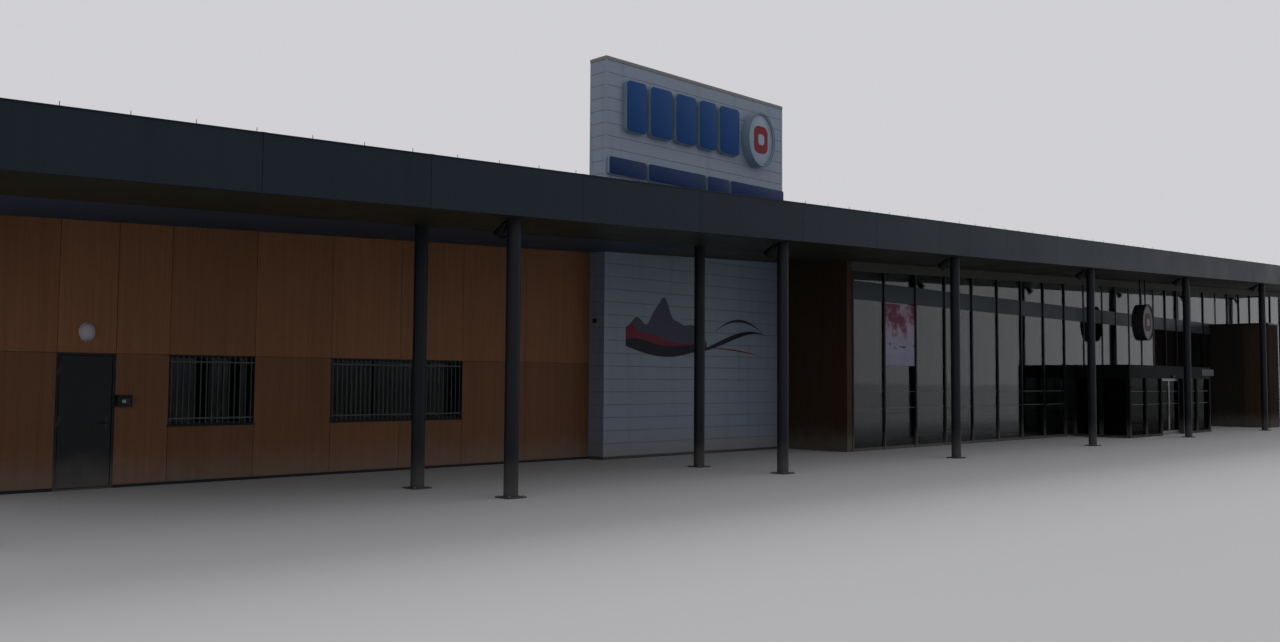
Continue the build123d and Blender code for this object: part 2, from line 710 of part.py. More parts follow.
def tower_coping():
    lip = TOWER_COPING_LIP
    return [block(TOWER_WEST - lip, TOWER_EAST + lip, TOWER_Y - lip, TOWER_BACK_Y + lip,
                  TOWER_HEIGHT, TOWER_HEIGHT + TOWER_COPING)]


def tower_posts():
    """Steel posts inside the tower that hold its two faces apart."""
    y0, y1 = TOWER_Y + TOWER_SKIN, TOWER_BACK_Y - TOWER_SKIN
    first = TOWER_WEST + TOWER_SKIN
    step = (TOWER_WIDTH - 2 * TOWER_SKIN - TOWER_POST) / (TOWER_POSTS - 1)
    return [block(first + step * i, first + step * i + TOWER_POST, y0, y1, 0, TOWER_HEIGHT)
            for i in range(TOWER_POSTS)]


def infill_wall():
    return [front_wall(TOWER_EAST, RETURN_WEST, TOWER_Y, TOWER_Y + INFILL_THICKNESS, 0, DECK_FOOT)]


def oval_sign():
    """A plain oval sign: a raised rim round a set-back face."""
    x = TOWER_WEST + OVAL_FROM_WEST
    y0 = TOWER_Y - OVAL_THICKNESS
    body = oval(x, y0, OVAL_HEIGHT, OVAL_HALF_WIDTH, OVAL_HALF_HEIGHT, OVAL_THICKNESS)
    face = oval(x, y0, OVAL_HEIGHT, OVAL_HALF_WIDTH - OVAL_RIM, OVAL_HALF_HEIGHT - OVAL_RIM,
                OVAL_RECESS)
    return [body - face]


def block_row(widths, west, gap, z0, height, corner, thickness):
    """Plain rounded blocks side by side on the tower's front."""
    blocks, x = [], TOWER_WEST + west
    for width in widths:
        blocks.append(rounded_block(x, z0, width, height, corner, TOWER_Y, thickness))
        x += width + gap
    return blocks


def tower_sign_blocks():
    """A row of tall blocks and a row of low ones under it."""
    tall = block_row(WORD_BLOCK_WIDTHS, WORD_FROM_WEST, WORD_BLOCK_GAP, WORD_FOOT,
                     WORD_BLOCK_HEIGHT, WORD_BLOCK_CORNER, WORD_THICKNESS)
    low = block_row(LINE_BLOCK_WIDTHS, LINE_FROM_WEST, LINE_BLOCK_GAP, LINE_FOOT,
                    LINE_BLOCK_HEIGHT, LINE_BLOCK_CORNER, LINE_THICKNESS)
    return tall + low


# Glass hall
def mullion_places():
    """Middles of the upright bars: wide bays, then the narrow ones at the entrance."""
    first = HALL_WEST + FIRST_PANE
    places = [HALL_WEST + MULLION_WIDTH / 2]
    places += [first + MULLION_PITCH * i for i in range(WIDE_MULLION_COUNT)]
    places += [places[-1] + ENTRANCE_PITCH * (i + 1) for i in range(ENTRANCE_MODULES)]
    last = WALL_EAST - WALL - MULLION_WIDTH
    while places[-1] + MULLION_PITCH < last:
        places.append(places[-1] + MULLION_PITCH)
    return places


def doorless(x):
    """True where the hall's front is open to the vestibule."""
    return ENTRY_WEST + VESTIBULE_POST < x < ENTRY_EAST - VESTIBULE_POST


def boxed(x):
    """True where the brown box stands in front of the hall."""
    return BOX_X < x < BOX_END


def hall_mullions():
    half = MULLION_WIDTH / 2
    bars = []
    for x in mullion_places():
        cap = 0 if (boxed(x) or doorless(x)) else MULLION_CAP
        low = VESTIBULE_HEIGHT if doorless(x) else 0
        bars.append(front_wall(x - half, x + half, GLASS_Y - cap, GLASS_Y + MULLION_DEPTH,
                               low, -HALL_HEAD_DROP))
    return bars


def clear_spans():
    """Free widths between neighbouring bars, from the return wall to the east wall."""
    half = MULLION_WIDTH / 2
    places = mullion_places()
    spans = [(a + half, b - half) for a, b in zip(places, places[1:])]
    return spans + [(places[-1] + half, WALL_EAST - WALL)]


def hall_glazing():
    """Panes and grey band panels between the bars, over a low sill."""
    mid = GLASS_Y + MULLION_CAP
    y0, y1 = mid, mid + HALL_GLASS
    band_y1 = mid + BAND_THICKNESS
    band_top = BAND_FOOT + BAND_HEIGHT
    glass, band, sills = [], [], []
    for a, b in clear_spans():
        entry = doorless(a) or doorless(b)
        low = VESTIBULE_HEIGHT if entry else HALL_SILL
        if not entry:
            sills.append(block(a, b, GLASS_Y, GLASS_Y + MULLION_DEPTH, 0, HALL_SILL))
        if b < BOX_END:
            glass.append(block(a, b, y0, y1, low, BAND_FOOT))
            band.append(block(a, b, y0, band_y1, BAND_FOOT, band_top))
            glass.append(front_wall(a, b, y0, y1, band_top, -HALL_HEAD_DROP))
        else:
            glass.append(front_wall(a, b, y0, y1, low, -HALL_HEAD_DROP))
    return glass, band, sills


def hall_head_wall():
    """The strip over the glass, up to the deck."""
    low, high = -HALL_HEAD_DROP, DECK_FOOT
    return [roof_bar(HALL_WEST, WALL_EAST - WALL, GLASS_Y, GLASS_Y + HEAD_WALL, low, high)]


def return_wall():
    """The wood-faced wall between the tower's plane and the glass."""
    return [front_wall(RETURN_WEST, HALL_WEST, GLASS_Y, WALL_INNER_Y, 0, DECK_FOOT)]


# Entrance vestibule
def doorway():
    return ENTRY_MIDDLE - DOORWAY_WIDTH / 2, ENTRY_MIDDLE + DOORWAY_WIDTH / 2


def light_edges(x0, x1, count):
    step = (x1 - x0 + VESTIBULE_POST) / count
    return [(x0 + step * i, x0 + step * (i + 1) - VESTIBULE_POST) for i in range(count)]


def vestibule():
    """Posts, sills, glass and roof band of the entrance lobby."""
    p = VESTIBULE_POST
    door_west, door_east = doorway()
    west_lights = light_edges(ENTRY_WEST + p, door_west - p, FRONT_LIGHT_COUNT)
    east_lights = light_edges(door_east + p, ENTRY_EAST - p, FRONT_LIGHT_COUNT)
    posts, sills, glass = [], [], []
    post_places = [ENTRY_WEST, door_west - p, door_east, ENTRY_EAST - p]
    post_places += [b for a, b in west_lights[:-1]] + [b for a, b in east_lights[:-1]]
    for x in sorted(post_places):
        posts.append(block(x, x + p, ENTRY_Y, ENTRY_Y + p, 0, BAND_Z))
    g0 = ENTRY_Y + (p - VESTIBULE_GLASS) / 2
    g1 = g0 + VESTIBULE_GLASS
    for a, b in west_lights + east_lights:
        sills.append(block(a, b, ENTRY_Y, ENTRY_Y + p, 0, VESTIBULE_SILL))
        glass.append(block(a, b, g0, g1, VESTIBULE_SILL, BAND_Z))
    side_y = light_edges(ENTRY_Y + p, GLASS_Y - p, VESTIBULE_SIDE_PANES)
    for x in (ENTRY_WEST, ENTRY_EAST - p):
        posts.append(block(x, x + p, GLASS_Y - p, GLASS_Y - MULLION_CAP, 0, BAND_Z))
        for a, b in side_y[:-1]:
            posts.append(block(x, x + p, b, b + p, 0, BAND_Z))
        h0 = x + (p - VESTIBULE_GLASS) / 2
        for a, b in side_y:
            sills.append(block(x, x + p, a, b, 0, VESTIBULE_SILL))
            glass.append(block(h0, h0 + VESTIBULE_GLASS, a, b, VESTIBULE_SILL, BAND_Z))
    return posts, sills, glass


def vestibule_roof():
    """The flat roof with the deep band under its three free edges."""
    p = VESTIBULE_POST
    back = GLASS_Y - MULLION_CAP
    outer = block(ENTRY_WEST, ENTRY_EAST, ENTRY_Y, back, BAND_Z, VESTIBULE_HEIGHT)
    inner = block(ENTRY_WEST + p, ENTRY_EAST - p, ENTRY_Y + p, back, BAND_Z,
                  BAND_Z + VESTIBULE_BAND)
    return [outer - inner]


def track_y():
    return ENTRY_Y + VESTIBULE_POST


def entrance_track():
    """An angle rail behind the band that both sliding leaves hang from."""
    door_west, door_east = doorway()
    x0, x1 = door_west - DOORWAY_WIDTH / 2, door_east + DOORWAY_WIDTH / 2
    y0 = track_y()
    z0 = BAND_Z + TRACK_RISE
    web = block(x0, x1, y0, y0 + TRACK_WEB, z0, z0 + TRACK_HEIGHT)
    lip = block(x0, x1, y0, y0 + TRACK_WEB + TRACK_LIP_REACH, z0, z0 + TRACK_LIP_THICKNESS)
    return [web + lip]


def sliding_leaf(side):
    """One leaf frame with its hangers and wheels; side is -1 west, 1 east."""
    width = DOORWAY_WIDTH / 2 + SLIDE_LAP - SLIDE_MEETING_GAP / 2
    near = ENTRY_MIDDLE + side * SLIDE_MEETING_GAP / 2
    x0, x1 = sorted((near, near + side * width))
    y0 = track_y() + SLIDE_GAP
    y1 = y0 + SLIDE_THICKNESS
    z0 = FLOOR_THICKNESS + SLIDE_FLOOR_GAP
    z1 = BAND_Z
    frame = block(x0, x1, y0, y1, z0, z1)
    ax0, ax1 = x0 + SLIDE_STILE, x1 - SLIDE_STILE
    az0, az1 = z0 + SLIDE_RAIL, z1 - SLIDE_RAIL
    frame = frame - block(ax0, ax1, y0, y1, az0, az1)
    mid = (y0 + y1) / 2
    glass = block(ax0, ax1, mid - SLIDE_GLASS / 2, mid + SLIDE_GLASS / 2, az0, az1)
    lip_edge = track_y() + TRACK_WEB + TRACK_LIP_REACH
    wheel_z = BAND_Z + TRACK_RISE + TRACK_LIP_THICKNESS + WHEEL_CLEARANCE + WHEEL_RADIUS
    plate_y = lip_edge + HANGER_CLEARANCE
    low = z1 - HANGER_LAP
    for x in (x0 + HANGER_FROM_END, x1 - HANGER_FROM_END):
        plate = block(x - HANGER_WIDTH / 2, x + HANGER_WIDTH / 2, plate_y,
                      plate_y + HANGER_THICKNESS, low, wheel_z + WHEEL_RADIUS)
        tab = block(x - HANGER_WIDTH / 2, x + HANGER_WIDTH / 2, y1,
                    plate_y + HANGER_THICKNESS, low, low + HANGER_TAB)
        wheel = disc(x, lip_edge - WHEEL_WIDTH, wheel_z, WHEEL_RADIUS, WHEEL_WIDTH)
        axle = block(x - AXLE / 2, x + AXLE / 2, lip_edge - WHEEL_WIDTH / 2, plate_y,
                     wheel_z - AXLE / 2, wheel_z + AXLE / 2)
        frame = frame + plate + tab + wheel + axle
    return [frame], [glass]


def drum_sign():
    """A thick oval sign over the entrance, its front face set back inside a rim."""
    y0 = FRONT + DRUM_CENTRE_DEPTH - DRUM_THICKNESS / 2
    body = oval(ENTRY_MIDDLE, y0, DRUM_HEIGHT, DRUM_HALF_WIDTH, DRUM_HALF_HEIGHT, DRUM_THICKNESS)
    return [body - oval(ENTRY_MIDDLE, y0, DRUM_HEIGHT, DRUM_HALF_WIDTH - DRUM_RIM,
                        DRUM_HALF_HEIGHT - DRUM_RIM, DRUM_RECESS)]


def drum_hangers():
    """Two rods from the canopy lining down to the drum's rim."""
    rods = []
    y = FRONT + DRUM_CENTRE_DEPTH
    for side in (-1, 1):
        offset = side * HANGER_ROD_SPACING / 2
        x = ENTRY_MIDDLE + offset
        low = DRUM_HEIGHT
        high = soffit(x - HANGER_ROD_RADIUS, DRUM_CENTRE_DEPTH - HANGER_ROD_RADIUS)
        rod = Pos(x, y, (low + high) / 2) * Cylinder(HANGER_ROD_RADIUS, high - low)
        drum = oval(ENTRY_MIDDLE, y - DRUM_THICKNESS / 2, DRUM_HEIGHT, DRUM_HALF_WIDTH,
                    DRUM_HALF_HEIGHT, DRUM_THICKNESS)
        rods.append(rod - drum)
    return rods


def plate_sign():
    x1 = ENTRY_EAST + PLATE_OVERHANG
    return [block(x1 - PLATE_WIDTH, x1, ENTRY_Y - PLATE_THICKNESS, ENTRY_Y, PLATE_FOOT,
                  PLATE_FOOT + PLATE_HEIGHT)]


def brown_box():
    y0 = FRONT + BOX_FRONT
    y1 = GLASS_Y
    outer = block(BOX_X, BOX_END, y0, y1, 0, BOX_HEIGHT)
    inner = block(BOX_X + BOX_WALL, BOX_END - BOX_WALL, y0 + BOX_WALL, y1, 0, BOX_HEIGHT - BOX_LID)
    return [outer - inner]


def main():
    os.makedirs("parts", exist_ok=True)
    west_wall, east_wall = side_walls()
    wall_west, wall_over, wall_east = structural_walls()
    lower, upper = wood_panels()
    fixed_hinges, moving_hinges = door_hinges()
    frames, panes = window_frames()
    tower_front, tower_shell = tower_walls()
    glass, band, sills = hall_glazing()
    posts, lobby_sills, lobby_glass = vestibule()
    west_leaf, west_glass = sliding_leaf(-1)
    east_leaf, east_glass = sliding_leaf(1)
    nodes = {
        "floor_slab": floor_slab(),
        "west_wall": [west_wall],
        "east_wall": [east_wall],
        "rear_wall": rear_wall(),
        "roof_deck": roof_deck(),
        "roof_upstand": roof_upstand(),
        "roof_coping": roof_coping(),
        "fascia_front": fascia_front(),
        "fascia_sides": fascia_sides(),
        "canopy_lining": canopy_lining(),
        "rear_lining": rear_lining(),
        "edge_beam": edge_beam(),
        "cross_beams": cross_beams(),
        "front_columns": front_columns(),
        "rear_columns": rear_columns(),
        "column_spotlights": column_spotlights(),
        "front_wall_west": [wall_west],
        "front_wall_over_door": [wall_over],
        "front_wall_east": [wall_east],
        "wood_panels_lower": lower,
        "wood_panels_upper": upper,
        "service_door_frame": service_door_frame(),
        "service_door_leaf": service_door_leaf(),
        "door_hinges_fixed": fixed_hinges,
        "door_hinges_moving": moving_hinges,
        "service_door_handle": service_door_handle(),
        "keypad_box": keypad_box(),
        "bulkhead_lamp": bulkhead_lamp(),
        "window_frames": frames,
        "window_glass": panes,
        "tower_front": [tower_front],
        "tower_shell": [tower_shell],
        "tower_coping": tower_coping(),
        "tower_posts": tower_posts(),
        "infill_wall": infill_wall(),
        "oval_sign": oval_sign(),
        "sign_blocks": tower_sign_blocks(),
        "hall_mullions": hall_mullions(),
        "hall_glass": glass,
        "hall_band": band,
        "hall_sill": sills,
        "hall_head_wall": hall_head_wall(),
        "return_wall": return_wall(),
        "vestibule_posts": posts,
        "vestibule_sills": lobby_sills,
        "vestibule_glass": lobby_glass,
        "vestibule_roof": vestibule_roof(),
        "entrance_track": entrance_track(),
        "entrance_leaf_west": west_leaf,
        "entrance_glass_west": west_glass,
        "entrance_leaf_east": east_leaf,
        "entrance_glass_east": east_glass,
        "drum_sign": drum_sign(),
        "drum_hangers": drum_hangers(),
        "plate_sign": plate_sign(),
        "brown_box": brown_box(),
    }
    for name, solids in nodes.items():
        save(name, solids)


main()
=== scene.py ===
"""Looks of the half-scale supermarket building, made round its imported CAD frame.

All lengths are metres in the model's frame: X runs east along the front, Y into the
building, Z up. The front faces -Y. The roof edge rises steadily to the east.
"""
from math import radians

import bpy
import numpy as np
from mathutils import Matrix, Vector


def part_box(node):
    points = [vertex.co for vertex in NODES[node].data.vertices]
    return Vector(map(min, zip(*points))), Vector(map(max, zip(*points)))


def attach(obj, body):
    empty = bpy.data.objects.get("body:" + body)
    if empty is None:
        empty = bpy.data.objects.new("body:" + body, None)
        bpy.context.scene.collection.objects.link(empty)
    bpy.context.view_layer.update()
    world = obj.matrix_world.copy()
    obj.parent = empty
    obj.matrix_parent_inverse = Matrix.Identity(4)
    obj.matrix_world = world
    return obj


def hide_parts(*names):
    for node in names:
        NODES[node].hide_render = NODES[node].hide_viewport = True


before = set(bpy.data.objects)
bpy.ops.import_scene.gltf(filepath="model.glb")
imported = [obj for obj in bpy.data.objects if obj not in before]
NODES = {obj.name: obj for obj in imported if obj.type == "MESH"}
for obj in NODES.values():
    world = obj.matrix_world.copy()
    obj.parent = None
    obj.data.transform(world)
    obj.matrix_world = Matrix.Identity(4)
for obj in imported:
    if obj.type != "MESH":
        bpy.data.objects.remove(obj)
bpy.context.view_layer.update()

# Roof edge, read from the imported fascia
FASCIA_LOW, FASCIA_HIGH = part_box("fascia_front")
WEST, EAST, FRONT = FASCIA_LOW.x, FASCIA_HIGH.x, FASCIA_LOW.y
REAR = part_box("fascia_sides")[1].y
ROOF_RISE = 0.040
SOFFIT_RISE = 0.038
DECK_TOP = 0.325
COPING_TOP = 0.376
COPING_DEPTH = 0.082

# Planes of the walls
TOWER_LOW, TOWER_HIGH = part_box("tower_front")
TOWER_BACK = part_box("tower_shell")[1].y
TOWER_PLAN = TOWER_LOW.x, TOWER_HIGH.x, TOWER_LOW.y, TOWER_BACK
WOOD_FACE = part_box("wood_panels_upper")[0].y
WALL_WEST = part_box("west_wall")[0].x
WALL_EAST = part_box("east_wall")[1].x
WALL_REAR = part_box("rear_wall")[1].y
HALL_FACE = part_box("hall_glass")[0].y
ENTRY_LOW, ENTRY_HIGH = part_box("vestibule_roof")
DOOR_WEST, DOOR_EAST = (corner.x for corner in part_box("service_door_frame"))

# Depths by which added pieces reach into what carries them
INSET = 0.001
SINK = 0.0005
SKIN = 0.0002

# Things that repeat along the front
COLUMNS = np.cumsum([-15.050, 3.607, 3.340, 3.340, 3.880, 3.880, 4.195, 3.800, 4.008])
REAR_COLUMNS = np.array([-15.05, -11.56, -8.12])
COLUMN_LINE = FRONT + 0.200
REAR_COLUMN_LINE = FRONT + 1.275
FASCIA_WEST_PANELS = (1.602, 1.236, 1.417, 1.380, 1.500, 1.290, 1.310, 1.600, 1.430)
FASCIA_PANEL = 1.400
PIN_START, PIN_STEP = -14.735, 0.375
WOOD_EDGES = [-14.565, -13.815, -13.372, -12.942, -12.192, -11.445, -10.7, -9.955, -9.125, -8.195]
WINDOWS = ((-12.942, -12.192, 15), (-11.445, -9.955, 30))
BAR_PITCH, LOBBY_BAR_PITCH = 0.79, 0.609
WEST_BARS = -4.02 + BAR_PITCH * np.arange(10)
LOBBY_BARS = 3.09 + LOBBY_BAR_PITCH * np.arange(1, 7)
EAST_BARS = 6.744 + BAR_PITCH * np.arange(1, 11)
MULLIONS = np.concatenate([[-4.76], WEST_BARS, LOBBY_BARS, EAST_BARS])
SIGHT_STRIPS = (0.548, 0.765)

# Tower boards, sign blocks and wall ribs
TALL_BLOCKS, TALL_GAP, TALL_HEIGHTS = (0.328, 0.380, 0.367, 0.317, 0.380), 0.061, (3.762, 4.364)
LOW_BLOCKS, LOW_GAP, LOW_HEIGHTS = (0.600, 1.005, 0.410, 1.080), 0.040, (3.235, 3.440)
TALL_START, LOW_BLOCKS_BACK = 0.253, 0.020
BOARD_COUNT = 31
BOARD_PROUD = 0.004
BOARD_BEVEL = 0.0045
BOARD_FOOT = 0.030
BOARD_PITCH = (TOWER_HIGH.z - BOARD_FOOT) / BOARD_COUNT
SIDING_STOP = WOOD_FACE - 0.006
RIB_STEP, RIB_PROUD, RIB_FOOT = 0.125, 0.009, 0.04


def roof_foot(x):
    """Height of the fascia's lower edge: a straight line that rises with x."""
    return FASCIA_LOW.z + ROOF_RISE * (x - WEST)


def deck(x):
    """Height of the roof deck's top."""
    return roof_foot(x) + DECK_TOP


def above(level, rise):
    """The level function of x moved up by rise."""
    return lambda x: level(x) + rise


# Shape functions
def loft(rings):
    """Orders rings[solid, station, point, xyz] so that every solid's faces point outwards.

    The signed volume is the sum of a . (b x c) / 6 over the side quads and the two end
    caps, taken about the solid's own middle; where it is negative the rings are reversed.
    """
    rings = np.array(rings, float)
    local = rings - rings.mean(axis=(1, 2), keepdims=True)
    after = np.roll(local, -1, axis=2)
    a, b, c, d = local[:, :-1], after[:, :-1], after[:, 1:], local[:, 1:]
    sides = np.einsum("sijk,sijk->s", a, np.cross(b, c) + np.cross(c, d))
    first, last = local[:, 0], local[:, -1]
    first_mid = np.broadcast_to(first.mean(1, keepdims=True), first.shape)
    last_mid = np.broadcast_to(last.mean(1, keepdims=True), last.shape)
    caps = (np.einsum("sjk,sjk->s", first_mid, np.cross(after[:, 0], first))
            + np.einsum("sjk,sjk->s", last_mid, np.cross(last, after[:, -1])))
    inside_out = sides + caps < 0
    rings[inside_out] = rings[inside_out][:, :, ::-1]
    return rings


def new_object(name, data):
    """An object of the scene that carries the data."""
    made = bpy.data.objects.new(name, data)
    bpy.context.scene.collection.objects.link(made)
    return made


def piece(name, lofts, finish, body="building", smooth=None, replaces=()):
    """One mesh from several ring arrays: quads along each solid and a cap on each end."""
    points, faces, base = [], [], 0
    for rings in lofts:
        rings = loft(rings)
        count, stations, size, _ = rings.shape
        index = np.arange(count * stations * size).reshape(count, stations, size) + base
        after = np.roll(index, -1, axis=2)
        quads = np.stack([index[:, :-1], after[:, :-1], after[:, 1:], index[:, 1:]], -1)
        faces += quads.reshape(-1, 4).tolist()
        faces += index[:, 0, ::-1].tolist() + index[:, -1].tolist()
        points.append(rings.reshape(-1, 3))
        base += index.size
    mesh = bpy.data.meshes.new(name)
    mesh.from_pydata(np.concatenate(points), [], faces)
    if smooth:
        mesh.polygons.foreach_set("use_smooth", np.ones(len(faces), bool))
        mesh.set_sharp_from_angle(angle=radians(smooth))
    mesh.materials.append(FINISH[finish])
    made = new_object(name, mesh)
    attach(made, body)
    if replaces:
        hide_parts(*replaces)


def upright(plan, low, high):
    """Solids over plan[solid, point, xy] from low to high, each a number or a function of x."""
    plan = np.asarray(plan, float)
    count = max([len(plan)] + [np.size(z) for z in (low, high) if not callable(z)])
    plan = np.broadcast_to(plan, (count, *plan.shape[1:]))
    x = plan[..., 0]
    levels = [z(x) if callable(z) else np.zeros_like(x) + np.reshape(z, (-1, 1)) for z in (low, high)]
    return np.stack([np.dstack([plan, level]) for level in levels], 1)


def boxes(x0, x1, y0, y1, z0, z1):
    """Upright boxes from arrays of edges; z0 and z1 may be functions of x."""
    x0, x1, y0, y1 = np.broadcast_arrays(*(np.atleast_1d(v).astype(float) for v in (x0, x1, y0, y1)))
    corners = [(x0, y0), (x1, y0), (x1, y1), (x0, y1)]
    return upright(np.stack([np.stack(c, -1) for c in corners], 1), z0, z1)


def border(x0, x1, y0, y1, z0, z1, wide):
    """Two uprights and, between them, two level pieces round an upright opening."""
    return [boxes([x0, x1 - wide], [x0 + wide, x1], y0, y1, z0, z1),
            boxes(x0 + wide, x1 - wide, y0, y1, [z0, z1 - wide], [z0 + wide, z1])]


def runs(section, start, end):
    """A section (offset points) carried straight from each start point to its end point."""
    section = np.asarray(section, float)
    start, end = np.atleast_2d(start).astype(float), np.atleast_2d(end).astype(float)
    return np.stack([start[:, None] + section, end[:, None] + section], 1)


def spots(x, y, z):
    """Points (x, y, z) from numbers and arrays, one row each."""
    return np.stack(np.broadcast_arrays(*(np.asarray(v, float) for v in (x, y, z))), -1)


def turned(origins, axis, profile, sides):
    """Surfaces of revolution: origin + t axis + r (cos u e1 + sin u e2) for each (t, r)."""
    axis = np.array(axis, float) / np.linalg.norm(axis)
    e1 = np.cross(axis, (0, 0, 1) if abs(axis[2]) < 0.9 else (1, 0, 0))
    e1 /= np.linalg.norm(e1)
    e2 = np.cross(axis, e1)
    u = 2 * np.pi * np.arange(sides) / sides
    circle = np.cos(u)[:, None] * e1 + np.sin(u)[:, None] * e2
    t, r = np.array(profile, float).T
    shape = t[:, None, None] * axis + r[:, None, None] * circle
    return np.atleast_2d(origins)[:, None, None, :] + shape


def flat_band(x, low, high, face, proud):
    """A flat sheet on the plane y = face between two edges low(x) and high(x)."""
    back, out = np.full_like(x, face + SINK), np.full_like(x, face - proud)
    ring = [(x, back, low), (x, out, low), (x, out, high), (x, back, high)]
    return np.stack([np.stack(p, -1) for p in ring], 1)[None]


def round_rectangle(width, height, radius, steps):
    """Outline whose quarter turns each sit on their own corner: (a sgn cos + r cos, ...)."""
    u = (np.arange(4 * steps) + 0.5) * np.pi / (2 * steps)
    return np.stack([np.sign(np.cos(u)) * (width / 2 - radius) + radius * np.cos(u),
                     np.sign(np.sin(u)) * (height / 2 - radius) + radius * np.sin(u)], -1)


def plates(outline, centres, proud, bevel):
    """Outline plates facing -Y, set on centres (x, y, z), with a small bevel at the face."""
    centres = np.atleast_2d(centres).astype(float)
    inner = outline * (1 - bevel / np.abs(outline).max(0))
    stations = [(outline, 0.0), (outline, proud - bevel), (inner, proud)]
    rings = [np.stack([ring[:, 0], np.full(len(ring), -out), ring[:, 1]], -1)
             for ring, out in stations]
    return centres[:, None, None] + np.stack(rings)[None]


def oval(centre, half_width, half_height, profile, sides):
    """Rings of an upright oval: x = s A cos u, z = s B sin u, y = -t for each (t, s)."""
    u = 2 * np.pi * np.arange(sides) / sides
    t, share = np.array(profile, float).T[:, :, None]
    ring = np.stack([share * half_width * np.cos(u), -t + 0 * u, share * half_height * np.sin(u)], -1)
    return (np.array(centre) + ring)[None]


def hoop(centre, half_width, half_height, tube, sides):
    """A closed ring: the small round section (t, g) carried once round the upright oval."""
    u = np.linspace(0, 2 * np.pi, sides + 1)[:, None]
    t, inset = np.array(tube, float).T
    ring = np.stack([(half_width - inset) * np.cos(u), -t + 0 * u, (half_height - inset) * np.sin(u)], -1)
    return (np.array(centre) + ring)[None]


def sight_strips(x0, x1, face):
    """Thin level films on the glass plane y = face, one at each height of SIGHT_STRIPS."""
    half, proud = 0.0035, 0.0008
    return [boxes(x0, x1, face - proud, face + SKIN, z - half, z + half) for z in SIGHT_STRIPS]


def middle_of(name):
    """A node's middle and half sizes along X and Z, with the y of its front."""
    low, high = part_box(name)
    return ((low.x + high.x) / 2, low.y, (low.z + high.z) / 2), (high.x - low.x) / 2, (high.z - low.z) / 2


# Material nodes
def feed(tree, node, sockets):
    """Gives a node's inputs their values, or links them where a value is another socket."""
    for key, value in sockets.items():
        if isinstance(value, bpy.types.NodeSocket):
            tree.links.new(value, node.inputs[key])
        else:
            node.inputs[key].default_value = value
    return node


def add(tree, kind, sockets=None, **settings):
    """Adds a node, sets it up and feeds its inputs."""
    node = tree.nodes.new("ShaderNode" + kind)
    for key, value in settings.items():
        setattr(node, key, value)
    return feed(tree, node, sockets or {})


def use(tree, group, sockets):
    return add(tree, "Group", sockets, node_tree=group).outputs


def calc(tree, operation, a, b=0.0, c=0.0):
    return add(tree, "Math", {0: a, 1: b, 2: c}, operation=operation).outputs[0]


def object_place(tree):
    return add(tree, "TexCoord").outputs["Object"]


def axes(tree):
    return add(tree, "SeparateXYZ", {0: object_place(tree)}).outputs


def noise(tree, scale, detail=4.0, rough=0.55):
    """Noise over the object's place; three scales stretch it along X, Y and Z."""
    place = object_place(tree)
    if isinstance(scale, tuple):
        place, scale = add(tree, "Mapping", {"Vector": place, "Scale": scale}).outputs[0], 1.0
    sockets = {"Vector": place, "Scale": scale, "Detail": detail, "Roughness": rough}
    return add(tree, "TexNoise", sockets).outputs["Fac"]


def remap(tree, value, low, high, to_low=0.0, to_high=1.0):
    sockets = {0: value, 1: low, 2: high, 3: to_low, 4: to_high}
    return add(tree, "MapRange", sockets, interpolation_type="SMOOTHSTEP").outputs[0]


def blend_colour(tree, factor, a, b):
    return add(tree, "Mix", {0: factor, 6: a, 7: b}, data_type="RGBA").outputs[2]


def shade(tree, colour, value):
    return add(tree, "HueSaturation", {"Color": colour, "Value": value}).outputs[0]


def relief(tree, shader, height, depth, strength=0.4):
    bump = add(tree, "Bump", {"Height": height, "Strength": strength, "Distance": depth})
    feed(tree, shader, {"Normal": bump.outputs[0]})


def new_group(name, inputs, *outputs):
    """An empty shader node group with its two ends; Colour, Light and Dark hold colours."""
    tree = bpy.data.node_groups.new(name, "ShaderNodeTree")

    def socket(title, side):
        kind = "Color" if title in ("Colour", "Light", "Dark") else "Float"
        return tree.interface.new_socket(name=title, in_out=side, socket_type="NodeSocket" + kind)

    for title, value in inputs.items():
        socket(title, "INPUT").default_value = value
    for title in outputs:
        socket(title, "OUTPUT")
    return tree, tree.nodes.new("NodeGroupInput").outputs, tree.nodes.new("NodeGroupOutput")


